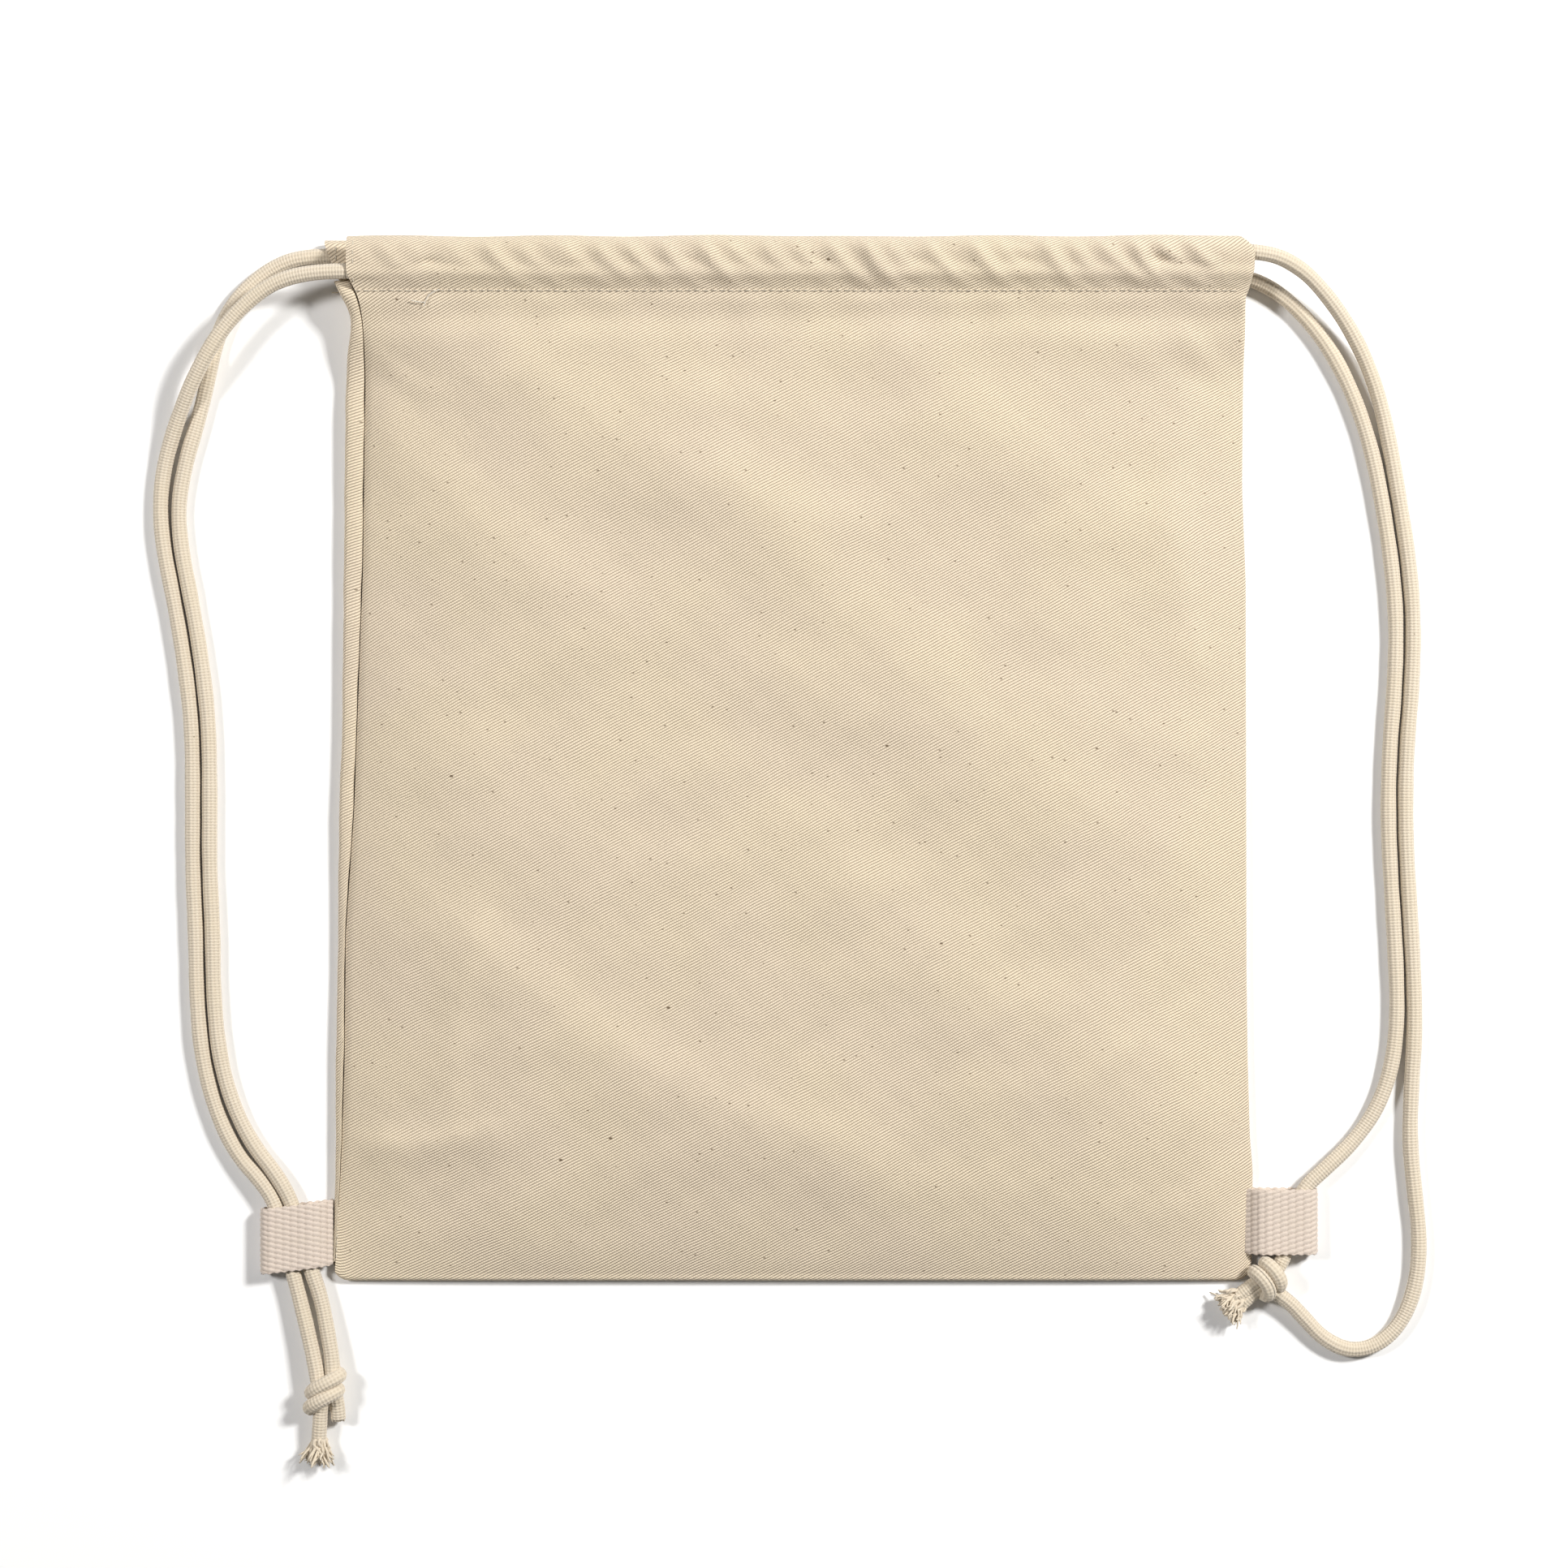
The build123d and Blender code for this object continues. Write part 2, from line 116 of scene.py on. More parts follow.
class Graph:
    """Short spellings for a material's node graph."""

    def __init__(self, name):
        self.material = bpy.data.materials.new(name)
        self.material.use_nodes = True
        self.tree = self.material.node_tree
        self.shader = self.tree.nodes["Principled BSDF"]

    def link(self, source, socket):
        """Sets a socket to a number or a colour, or joins it to another socket."""
        if isinstance(source, tuple):
            socket.default_value = (*source, 1.0)
        elif isinstance(source, (int, float)):
            socket.default_value = source
        else:
            self.tree.links.new(source, socket)

    def node(self, kind, inputs, **settings):
        """The outputs of a new node."""
        node = self.tree.nodes.new("ShaderNode" + kind)
        for name, value in settings.items():
            setattr(node, name, value)
        for socket, value in inputs.items():
            self.link(value, node.inputs[socket])
        return node.outputs

    def math(self, operation, *values):
        return self.node("Math", dict(enumerate(values)), operation=operation)[0]

    def times(self, first, second):
        return self.math("MULTIPLY", first, second)

    def minus(self, first, second):
        return self.math("SUBTRACT", first, second)

    def total(self, *terms):
        result = terms[0]
        for term in terms[1:]:
            result = self.math("ADD", result, term)
        return result

    def position(self):
        """The object's own coordinates in millimetres."""
        place = self.node("TexCoord", {})["Object"]
        return self.node("VectorMath", {0: place, "Scale": 1 / MM}, operation="SCALE")[0]

    def uv(self):
        return self.node("UVMap", {}, uv_map=FLAT_MAP)[0]

    def split(self, vector):
        return self.node("SeparateXYZ", {0: vector})

    def join(self, x, y):
        return self.node("CombineXYZ", {0: x, 1: y, 2: 0.0})[0]

    def noise(self, vector, size, detail=2.0, roughness=0.5):
        """Noise from 0 to 1 whose spots are about size millimetres across."""
        inputs = {"Vector": vector, "Scale": 1 / size, "Detail": detail, "Roughness": roughness}
        return self.node("TexNoise", inputs)[0]

    def cells(self, vector, size):
        """Distance to the nearest of scattered points, and a random value for each point."""
        outputs = self.node("TexVoronoi", {"Vector": vector, "Scale": 1 / size, "Randomness": 1.0})
        return outputs["Distance"], outputs["Color"]

    def ramp(self, value, low, high):
        """0 below low, 1 above high, smooth between."""
        inputs = {"Value": value, "From Min": low, "From Max": high}
        return self.node("MapRange", inputs, interpolation_type="SMOOTHSTEP")[0]

    def mix(self, share, first, second):
        return self.node("Mix", {"Factor": share, "A": first, "B": second}, data_type="RGBA")["Result"]

    def tint(self, colour, mask, strength, other):
        """The colour, taken towards another one where the mask is white."""
        return self.mix(self.times(mask, strength), colour, other)

    def finish(self, colour, height, depth, roughness, sheen):
        """Sets the shader: colour, a bump height in millimetres times depth, and the soft cloth sheen."""
        bump = self.node("Bump", {"Height": height, "Distance": depth * MM, "Strength": 1.0})[0]
        inputs = {
            "Normal": bump, "Base Color": colour, "Roughness": roughness, "Sheen Weight": sheen,
            "Sheen Roughness": 0.6, "Specular IOR Level": 0.2,
        }
        for socket, value in inputs.items():
            self.link(value, self.shader.inputs[socket])
        return self.material


def scaled(colour, *factors):
    """A colour with its channels multiplied, none over one."""
    return tuple(min(1.0, channel * factor) for channel, factor in zip(colour, factors))


def seed_specks(g, place, size, rarity, radius):
    """A mask of short dark bits of cotton seed, a few cells in a hundred."""
    distance, random_value = g.cells(place, size)
    chosen = g.ramp(g.split(random_value)[0], rarity, rarity + 0.01)
    return g.times(chosen, g.minus(1.0, g.ramp(distance, radius * 0.55, radius)))


TWILL_ANGLE = 27.5
TWILL_PITCH = 1.0
TWILL_DEPTH = 0.30
FLOAT_LENGTH = 0.92                         # of a yarn where it lies on top of the weave
FLOAT_SHIFT = 0.37                          # from one ridge to the next, as a share of a float
# painted shade for the twill's grooves, also the darker tone of thick slubs of yarn
GROOVE_SHADE_AND_SLUB = (0.36, 0.285, 0.205)
STAIN_BROWN = (0.40, 0.31, 0.19)
SEED_BROWN = (0.16, 0.11, 0.065)


def canvas_material(name, light, mirrored=False):
    """Unbleached twill: slanted ridges of short floats, with a painted highlight on their crests and
    painted shade in the grooves between them, uneven yarns, cotton seed and faint stains.
    """
    g = Graph(name)
    place = g.uv()
    x, y, _ = g.split(place)
    slant = math.radians(-TWILL_ANGLE if mirrored else TWILL_ANGLE)
    wander = g.times(g.minus(g.noise(place, 30.0), 0.5), 2.2)
    across = g.total(g.times(x, -math.sin(slant)), g.times(y, math.cos(slant)), wander)
    along_line = g.total(g.times(x, math.cos(slant)), g.times(y, math.sin(slant)))
    line = g.math("DIVIDE", across, TWILL_PITCH)
    ridge = g.math("ABSOLUTE", g.math("SINE", g.times(line, math.pi)))
    step = g.times(g.math("FLOOR", line), FLOAT_SHIFT)
    dash = g.total(g.math("DIVIDE", along_line, FLOAT_LENGTH), step)
    dash = g.total(g.times(g.math("SINE", g.times(dash, 2 * math.pi)), 0.5), 0.5)
    yarn = g.noise(g.join(g.times(along_line, 0.30), across), 0.50, 2.0, 0.6)
    fibre = g.noise(place, 0.22, 1.0)
    weave = g.total(
        g.times(ridge, 0.75),
        g.times(g.times(dash, ridge), 0.22),
        g.times(g.minus(yarn, 0.5), 0.42),
        g.times(g.minus(fibre, 0.5), 0.22),
    )
    yellow = scaled(light, 1.012, 1.006, 0.975)
    pink = scaled(light, 0.988, 0.976, 0.985)
    # the colour of the painted highlight on the twill's ridge crests
    pale = scaled(light, 1.17, 1.18, 1.22)
    colour = g.mix(g.ramp(g.noise(place, 60.0), 0.36, 0.64), pink, yellow)
    # painted highlight along the twill's ridge crests, mixed with the yarns' own uneven tone
    colour = g.tint(colour, g.ramp(weave, 0.6, 1.05), 0.5, pale)
    # painted shade in the twill's grooves, mixed with the yarns' own uneven tone
    colour = g.tint(colour, g.minus(1.0, g.ramp(weave, 0.12, 0.62)), 0.86, GROOVE_SHADE_AND_SLUB)
    slub = g.ramp(g.noise(g.join(g.times(x, 0.25), y), 1.3), 0.62, 0.80)
    colour = g.tint(colour, slub, 0.22, GROOVE_SHADE_AND_SLUB)
    colour = g.tint(colour, g.ramp(g.noise(place, 15.0, 3.0, 0.6), 0.70, 0.86), 0.20, STAIN_BROWN)
    stretched = g.join(g.times(x, 0.62), y)
    small = seed_specks(g, stretched, 3.8, 0.58, 0.105)
    large = g.times(seed_specks(g, stretched, 13.0, 0.72, 0.046), 1.3)
    colour = g.tint(colour, g.math("MAXIMUM", small, large), 0.72, SEED_BROWN)
    return g.finish(colour, weave, TWILL_DEPTH, 0.92, 0.12)


def webbing_material():
    """Chunky cotton webbing, whose bars are in the mesh: fibres, painted shade in the gaps between the bars
    and a pinkish cream.
    """
    g = Graph("webbing")
    place = g.position()
    # painted shade in the gaps between the webbing's bars
    gap = g.minus(1.0, g.ramp(g.split(g.uv())[1], 0.0, 0.55))
    fibres = g.noise(place, 0.5, 3.0, 0.65)
    patches = g.ramp(g.noise(place, 9.0), 0.4, 0.8)
    colour = g.tint((0.675, 0.575, 0.495), gap, 0.75, (0.30, 0.235, 0.185))
    colour = g.tint(colour, patches, 0.35, (0.62, 0.535, 0.44))
    colour = g.tint(colour, g.ramp(fibres, 0.5, 0.9), 0.4, (0.74, 0.66, 0.59))
    return g.finish(colour, fibres, 0.12, 0.95, 0.3)


BRAID_CARRIERS = 5
BRAID_PITCH = 2.3


def cord_material():
    """Round cotton braid. Its UV map runs once round the cord and along it in millimetres."""
    g = Graph("cord")
    place = g.position()
    around, along_cord, _ = g.split(g.uv())
    turn = g.times(around, 2 * math.pi * BRAID_CARRIERS)
    pitch = g.times(along_cord, 2 * math.pi / BRAID_PITCH)
    cell = g.times(g.math("SINE", g.total(turn, pitch)), g.math("SINE", g.minus(turn, pitch)))
    fibres = g.noise(g.join(g.times(around, 19.0), along_cord), 0.4, 3.0, 0.6)
    weave = g.total(g.times(cell, 0.5), g.times(fibres, 0.9))
    # painted shade in the braid's hollows, mixed with the fibres' own uneven tone
    shade = g.minus(1.0, g.ramp(weave, -0.25, 0.75))
    patches = g.ramp(g.noise(place, 14.0), 0.35, 0.7)
    colour = g.tint((0.735, 0.645, 0.515), shade, 0.6, (0.42, 0.335, 0.235))
    colour = g.tint(colour, patches, 0.35, (0.68, 0.585, 0.435))
    colour = g.tint(colour, seed_specks(g, place, 4.0, 0.93, 0.10), 0.7, (0.19, 0.14, 0.08))
    return g.finish(colour, weave, 0.22, 0.95, 0.3)


def thread_material(name, colour):
    """Twisted thread: slanted plies with painted shade between them, and a little fluff."""
    g = Graph(name)
    place = g.position()
    x, y, _ = g.split(place)
    ply = g.math("SINE", g.times(g.total(x, y), 2 * math.pi / 0.5))
    height = g.total(ply, g.noise(place, 0.3))
    # painted shade in the grooves between the plies, mixed with the fluff's own uneven tone
    colour = g.tint(colour, g.minus(1.0, g.ramp(height, -0.6, 0.9)), 0.5, scaled(colour, 0.75, 0.75, 0.75))
    return g.finish(colour, height, 0.08, 0.85, 0.2)


def floor_material():
    """A pale, almost even studio sweep."""
    g = Graph("floor")
    mottle = g.noise(g.position(), 400.0, 1.0)
    colour = g.tint((0.96, 0.96, 0.96), mottle, 0.2, (0.945, 0.945, 0.945))
    return g.finish(colour, mottle, 0.0, 0.9, 0.0)


CANVAS = canvas_material("canvas", (0.775, 0.665, 0.505))
CANVAS_BACK = canvas_material("canvas_back", (0.765, 0.655, 0.495), mirrored=True)
WEBBING = webbing_material()
CORD = cord_material()
THREAD = thread_material("sewing_thread", (0.78, 0.69, 0.55))
PALE_THREAD = thread_material("pale_thread", (0.93, 0.88, 0.78))
OVERLOCK = thread_material("overlock_thread", (0.76, 0.67, 0.53))


# ------------------------------------------------------------------ meshes
def add_mesh(name, points, faces, material, body="bag", uv=None):
    """A smooth mesh from points in millimetres, which rides on a body unless body is None."""
    data = bpy.data.meshes.new(name)
    data.from_pydata((np.asarray(points, float) * MM).tolist(), [], faces)
    data.update()
    data.polygons.foreach_set("use_smooth", [True] * len(data.polygons))
    if uv is not None:
        layer = data.uv_layers.new(name=FLAT_MAP)
        corners = np.zeros(len(data.loops), int)
        data.loops.foreach_get("vertex_index", corners)
        layer.data.foreach_set("uv", np.asarray(uv, float)[corners].ravel())
    data.materials.append(material)
    piece = bpy.data.objects.new(name, data)
    bpy.context.scene.collection.objects.link(piece)
    if body is not None:
        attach(piece, body)
    return piece


def grid_faces(rows, columns, closed=False):
    """Faces of a grid of points stored row by row. A closed grid joins its last column to its first."""
    faces = []
    for row in range(rows - 1):
        for column in range(columns if closed else columns - 1):
            after = (column + 1) % columns
            low = row * columns
            high = low + columns
            faces.append((low + column, low + after, high + after, high + column))
    return faces


def tube_faces(rings, sides, first=0):
    """Faces of a tube whose ends are closed, from rings of points that are numbered from first."""
    faces = grid_faces(rings, sides, closed=True)
    faces.append(tuple(range(sides - 1, -1, -1)))
    faces.append(tuple(range((rings - 1) * sides, rings * sides)))
    return [tuple(first + i for i in face) for face in faces]


def blend_between(piece, body, start, end, z):
    """Bakes the piece's place into its mesh. The body, start, end and z are not used."""
    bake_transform(piece)


def smoothstep(t):
    t = np.clip(t, 0, 1)
    return t * t * (3 - 2 * t)


# ------------------------------------------------------------------ cords
# Each free strand from its channel to its knot. A point with no height lies on the floor.
STRANDS = {
    "left_cord_front_strand": [
        (-168.5, lane_low, front_run_z), (-180.0, lane_low, front_run_z), (-194.5, 182.6, 16.6),
        (-205.6, 175.2, 15.8), (-214.6, 166.0, 15.0), (-222.4, 154.6, 14.2), (-229.6, 141.4, 10.4),
        (-235.6, 127.4, 5.4), (-240.2, 112.6), (-241.8, 97.0), (-240.2, 80.6), (-236.4, 62.0),
        (-232.4, 39.0), (-229.4, 14.0), (-229.0, -12.0), (-229.2, -40.0), (-227.9, -66.0),
        (-227.6, -90.0), (-225.6, -114.0), (-220.4, -134.6), (-212.2, -151.6),
        (-202.8, -161.4, tab_cord_z), (-196.4, -171.4, tab_cord_z), (-190.9, -194.4, tab_cord_z),
        (-187.9, -206.0, tab_cord_z), (-184.6, -219.0, 5.4), (-181.2, -233.0, 6.4), (-180.0, -241.0, 6.9),
    ],
    "left_cord_back_strand": [
        (-176.0, lane_high, back_run_z), (-186.6, lane_high, back_run_z), (-197.2, 189.8),
        (-207.0, 182.8), (-215.0, 173.2), (-220.2, 161.0), (-223.0, 147.0), (-226.6, 131.6),
        (-231.6, 115.4), (-234.8, 98.0), (-233.6, 81.0), (-229.8, 62.4), (-225.8, 39.4), (-222.9, 14.0),
        (-222.5, -12.0), (-222.7, -40.0), (-221.4, -66.0), (-221.1, -90.0), (-219.1, -112.6),
        (-214.2, -131.4), (-206.4, -147.4), (-196.4, -159.4, tab_cord_z), (-189.9, -171.4, tab_cord_z),
        (-184.2, -193.4, tab_cord_z), (-179.6, -206.0, tab_cord_z), (-177.0, -219.0, 5.4),
        (-174.8, -231.0, 6.4), (-174.6, -239.0, 6.9),
    ],
    "right_cord_front_strand": [
        (172.0, lane_high, front_run_z), (182.4, lane_high, front_run_z), (194.8, 187.8, 14.8),
        (204.6, 178.6, 11.8), (213.6, 167.0, 8.6), (221.2, 153.6, 5.6), (227.2, 137.6, 3.6),
        (231.4, 118.4), (234.9, 98.0), (238.1, 77.0), (240.1, 54.0), (239.4, 29.0), (237.3, 4.0),
        (236.7, -22.0), (238.0, -49.0), (239.8, -77.0), (240.6, -102.0), (239.2, -125.0), (238.4, -146.0),
        (240.4, -166.0), (242.4, -184.0), (241.2, -201.0), (235.9, -215.6), (226.6, -224.8),
        (215.4, -227.2), (205.2, -222.4), (197.4, -213.8, 3.6), (190.6, -206.6, 5.0),
        (184.4, -202.6, 6.4),
    ],
    "right_cord_back_strand": [
        (164.5, lane_low, back_run_z), (174.4, lane_low, back_run_z), (186.0, 181.0, 3.4), (196.2, 172.6),
        (205.2, 161.8), (212.8, 149.0), (219.2, 134.2), (224.4, 117.0), (228.2, 97.4), (231.4, 76.4),
        (233.4, 54.0), (232.8, 29.4), (230.7, 4.4), (230.1, -22.0), (231.4, -49.0), (233.2, -77.0),
        (233.8, -100.0), (231.6, -118.6), (226.0, -134.0), (217.4, -146.0), (207.4, -155.4, tab_cord_z),
        (196.6, -165.0, tab_cord_z), (193.6, -177.4, tab_cord_z), (190.6, -189.6, tab_cord_z),
        (187.0, -195.8, tab_cord_z), (183.6, -200.2, 6.6),
    ],
}

RING_SIDES = 36
RING_STEP = 0.46
BRAID_RELIEF = 0.12
BRAID_SINK = 0.10                           # so that the braid's crests stay at the cord's radius
PACKED_RADIUS = CORD_RADIUS - 0.1           # where cloth or a knot holds the cord


def resample(points, step):
    """The same line with points a step apart, and how far along it each one is."""
    travelled = np.concatenate([[0], np.cumsum(np.linalg.norm(np.diff(points, axis=0), axis=1))])
    wanted = np.linspace(0, travelled[-1], max(2, int(travelled[-1] / step) + 1))
    return np.stack([np.interp(wanted, travelled, points[:, k]) for k in range(3)], axis=1), wanted


def spline_points(name, route, step):
    """Points close together along the smooth NURBS line of a route, all in millimetres."""
    curve = bpy.data.curves.new(name, "CURVE")
    curve.dimensions = "3D"
    spline = curve.splines.new("NURBS")
    spline.points.add(len(route) - 1)
    for point, place in zip(spline.points, route):
        point.co = (place[0] * MM, place[1] * MM, place[2] * MM, 1.0)
    spline.order_u = 3
    spline.use_endpoint_u = True
    curve.resolution_u = 24
    holder = bpy.data.objects.new(name, curve)
    bpy.context.scene.collection.objects.link(holder)
    bpy.context.view_layer.update()
    line = bpy.data.meshes.new_from_object(holder)
    points = np.array([v.co for v in line.vertices]) / MM
    bpy.data.objects.remove(holder)
    bpy.data.meshes.remove(line)
    bpy.data.curves.remove(curve)
    gaps = np.linalg.norm(np.diff(points, axis=0), axis=1)
    points = points[np.concatenate([[True], gaps > 1e-6])]
    return resample(points, step)


def line_frames(points):
    """Two unit normals at each point, which don't twist along the line."""
    tangents = np.gradient(points, axis=0)
    tangents /= np.linalg.norm(tangents, axis=1)[:, None]
    start = np.cross(tangents[0], (0.0, 0.0, 1.0))
    if np.linalg.norm(start) < 0.1:
        start = np.cross(tangents[0], (1.0, 0.0, 0.0))
    normals = [start / np.linalg.norm(start)]
    for tangent in tangents[1:]:
        normal = normals[-1] - tangent * np.dot(normals[-1], tangent)
        normals.append(normal / np.linalg.norm(normal))
    normals = np.array(normals)
    return normals, np.cross(tangents, normals)


def braided_tube(points, travelled, radius=CORD_RADIUS, sides=RING_SIDES):
    """Points, faces and UVs of a cord whose braid stands out of its surface."""
    side, up = line_frames(points)
    turn = np.linspace(0, 2 * np.pi, sides, endpoint=False)
    angle, length = np.meshgrid(turn, travelled)
    braid = np.sin(BRAID_CARRIERS * angle + 2 * np.pi * length / BRAID_PITCH)
    braid *= np.sin(BRAID_CARRIERS * angle - 2 * np.pi * length / BRAID_PITCH)
    waver = 0.05 * np.sin(length / 7.3) + 0.04 * np.sin(length / 3.1 + 1.0)
    reach = radius * (1 + (BRAID_RELIEF * braid + waver - BRAID_SINK) / CORD_RADIUS)
    ring = side[:, None, :] * np.cos(angle)[..., None] + up[:, None, :] * np.sin(angle)[..., None]
    verts = points[:, None, :] + ring * reach[..., None]
    uv = np.stack([angle / (2 * np.pi), length], axis=2).reshape(-1, 2)
    return verts.reshape(-1, 3), tube_faces(len(points), sides), uv


def add_cord(name, points, travelled, body, replaced=None, radius=CORD_RADIUS):
    """A length of braided cord, and the CAD node that it replaces."""
    verts, faces, uv = braided_tube(points, travelled, radius)
    piece = add_mesh(name, verts, faces, CORD, body, uv)
    if replaced:
        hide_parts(replaced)
    return piece


# Two points for each side, where a strand was meant to follow its knot below the second and the bag above
# the first; blend_between does not use them.
KNOT_RAMPS = {"left": ((-229.0, -60.0), (-181.0, -212.0)), "right": ((238.0, -40.0), (190.0, -196.0))}


def add_strands():
    """The four free strands of the drawcords."""
    made = {}
    for node, route in STRANDS.items():
        side = node.split("_")[0]
        route = [place if len(place) == 3 else (*place, CORD_RADIUS) for place in route]
        points, travelled = spline_points(node, route, RING_STEP)
        points[:, 2] = np.maximum(points[:, 2], CORD_RADIUS)
        piece = add_cord(node.replace("strand", "rope"), points, travelled, None)
        blend_between(piece, f"{side}_knot_end", *KNOT_RAMPS[side], CORD_RADIUS)
        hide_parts(node)
        made[node] = (piece, points, travelled[-1])
    return made


strands = add_strands()


def helix(side, turns, half_width, half_height, pitch, lean, bow, phase, flip, shift):
    """The path of a cord that wraps a knot's core, around the knot's middle."""
    centre = knot_mid[side] + np.array(shift)
    heading = np.array(KNOT_HEADINGS[side] + (0.0,))
    heading /= np.linalg.norm(heading)
    across = np.array([-heading[1], heading[0], 0.0])
    t = np.linspace(0, 1, int(turns * 46))
    angle = phase + flip * 2 * np.pi * turns * t
    side_step = half_width * np.cos(angle)
    rise = half_height * np.sin(angle)
    drop = (t - 0.5) * pitch * turns + lean * side_step - bow * np.maximum(0, np.sin(angle))
    points = centre + heading * drop[:, None] + across * side_step[:, None]
    points[:, 2] += rise
    return points


KNOT_HEADINGS = {"left": (-0.10, -1.0), "right": (-0.78, -0.62)}
UNDER = -0.5 * math.pi                      # where a wrap starts, under the knot
KNOT_WRAPS = {
    "left": dict(
        turns=2.1, half_width=5.0, half_height=3.95, pitch=5.7, lean=-0.5, bow=0.6,
        phase=UNDER - 0.3, flip=1, shift=(-0.3, 0.4, 0.0),
    ),
    "right": dict(
        turns=2.1, half_width=5.0, half_height=3.95, pitch=5.3, lean=-0.1, bow=1.8,
        phase=UNDER + 0.3, flip=-1, shift=(1.2, 2.4, 0.0),
    ),
}
WRAP_RADIUS = 2.85


def add_knots():
    """An overhand knot on each side: a cord wrapped twice around the two that it ties."""
    made = {}
    for side in SIDES:
        points, travelled = resample(helix(side, **KNOT_WRAPS[side]), RING_STEP)
        points[:, 2] = np.maximum(points[:, 2], WRAP_RADIUS)
        name, body = f"{side}_knot_wraps", f"{side}_knot_end"
        made[side] = add_cord(name, points, travelled, body, f"{side}_knot", WRAP_RADIUS)
    return made


knots = add_knots()

# Each cord end: the points of its stub, how long its loose fibres are and how far they spread.
CORD_ENDS = {
    "left": [
        ([(-178.6, -240.0, 6.8), (-179.6, -249.0, 6.2), (-180.4, -261.0, 4.6)], 9.6, 5.2, 110),
        ([(-174.8, -240.0, 6.6), (-173.0, -246.0, 5.8), (-172.9, -252.6, 4.6)], 1.2, 0.3, 50),
    ],
    "right": [
        ([(181.6, -198.6, 6.6), (176.6, -202.2, 5.8), (172.4, -205.8, 4.9)], 7.4, 5.0, 120),
        ([(181.8, -201.4, 5.6), (177.4, -205.2, 4.6), (173.0, -209.2, 4.2)], 6.8, 4.8, 110),
    ],
}


def frayed_tip(end, direction, length, spread, count, rng):
    """A brush of thin yarns that fan out of a cut cord, as points and faces."""
    direction = direction / np.linalg.norm(direction)
    across = np.cross(direction, (0, 0, 1.0))
    across /= np.linalg.norm(across)
    up = np.cross(across, direction)
    verts, faces = [], []
    sides, rings = 6, 9
    for _ in range(count):
        angle = rng.uniform(0, 2 * math.pi)
        out = math.sqrt(rng.uniform(0, 1))
        base = end + (across * math.cos(angle) + up * math.sin(angle)) * out * (CORD_RADIUS - 0.7)
        reach = length * rng.uniform(0.6, 1.05)
        flare = (across * math.cos(angle) + up * math.sin(angle)) * out * spread * rng.uniform(0.3, 1.1)
        curl = (across * rng.uniform(-1, 1) + up * rng.uniform(-1, 1)) * rng.uniform(0.5, 1.9)
        curl = curl * min(1.0, length / 6.0)
        waves = rng.uniform(1.0, 3.2)
        thick = min(rng.uniform(0.34, 0.72), 0.5 * length)
        line = []
        for k in range(rings):
            t = k / (rings - 1)
            point = base - direction * 1.2 + direction * (reach + 1.2) * t
            point = point + flare * t**1.6 + curl * math.sin(math.pi * waves * t)
            point[2] = max(point[2], 0.5)
            line.append(point)
        line = np.array(line)
        side, rise = line_frames(line)
        first = len(verts)
        for k in range(rings):
            taper = thick * (1.0 - 0.55 * (k / (rings - 1)) ** 2)
            for n in range(sides):
                turn = 2 * math.pi * n / sides
                verts.append(line[k] + (side[k] * math.cos(turn) + rise[k] * math.sin(turn)) * taper)
        faces += tube_faces(rings, sides, first)
    return verts, faces


def add_cord_ends():
    """The cut ends of each cord below its knot, each a stub of braid and a brush of yarns."""
    made = {"left": [], "right": []}
    rng = random.Random(11)
    for side, ends in CORD_ENDS.items():
        for number, (route, length, spread, count) in enumerate(ends, start=1):
            points, travelled = spline_points("stub", route, RING_STEP)
            points[:, 2] = np.maximum(points[:, 2], CORD_RADIUS)
            body = f"{side}_knot_end"
            stub = add_cord(f"{side}_cord_stub_{number}", points, travelled, body, None, PACKED_RADIUS)
            direction = points[-1] - points[-6]
            direction[2] = min(direction[2], 0) * 0.3
            verts, faces = frayed_tip(points[-1], direction, length, spread, count, rng)
            uv = np.zeros((len(verts), 2))
            brush = add_mesh(f"{side}_cord_brush_{number}", verts, faces, CORD, body, uv)
            made[side] += [stub, brush]
            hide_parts(f"{side}_cord_ends")
    return made


cord_ends = add_cord_ends()


# ------------------------------------------------------------------ the bag's outline
# Edges of the bag as pairs: how far along the bag, and how far across.
LEFT_EDGE = [
    (-200, -175.6), (-193, -175.3), (-160, -174.2), (-114, -174.1), (-82, -173.4), (-20, -172.8),
    (11, -171.6), (74, -170.9), (136, -170.3), (155, -169.4), (162, -168.2), (168, -167.7),
    (172, -168.4), (177, -171.0), (182, -173.8), (186, -175.6), (200, -176.0),
]
FRONT_LEFT = [
    (-200, -174.4), (-160, -172.4), (-114, -171.0), (-67, -170.6), (-20, -167.3), (74, -163.8),
    (147, -162.8), (162, -162.8), (170, -163.3), (176, -164.4), (180, -166.2), (183, -167.8),
    (186, -168.6), (200, -168.5),
]
RIGHT_EDGE = [
    (-200, 177.8), (-188, 177.9), (-157, 178.3), (-145, 177.2), (-114, 176.3), (-82, 175.9),
    (68, 175.6), (105, 174.2), (168, 174.8), (175, 174.4), (179, 175.0), (183, 176.2),
    (189, 177.0), (194, 176.8), (197, 175.4), (199, 172.6), (200, 171.0),
]
EDGE_RADIUS = 1.7
LIP_RADIUS = 0.8
COVERED_CORD = 3.95                         # a cord and the cloth over it
CORNER_RADIUS = 6.5
CREST = panel_high[2] - 0.6
RISE_WIDTH = 85.0
FLOOR_Z = 0.42                              # middle of the back cloth where it lies on the floor
EDGE_Z = 0.3                                # of the front where it turns under at the bottom
CLEAR_Z = 0.05                              # the inner faces stay this far above the floor
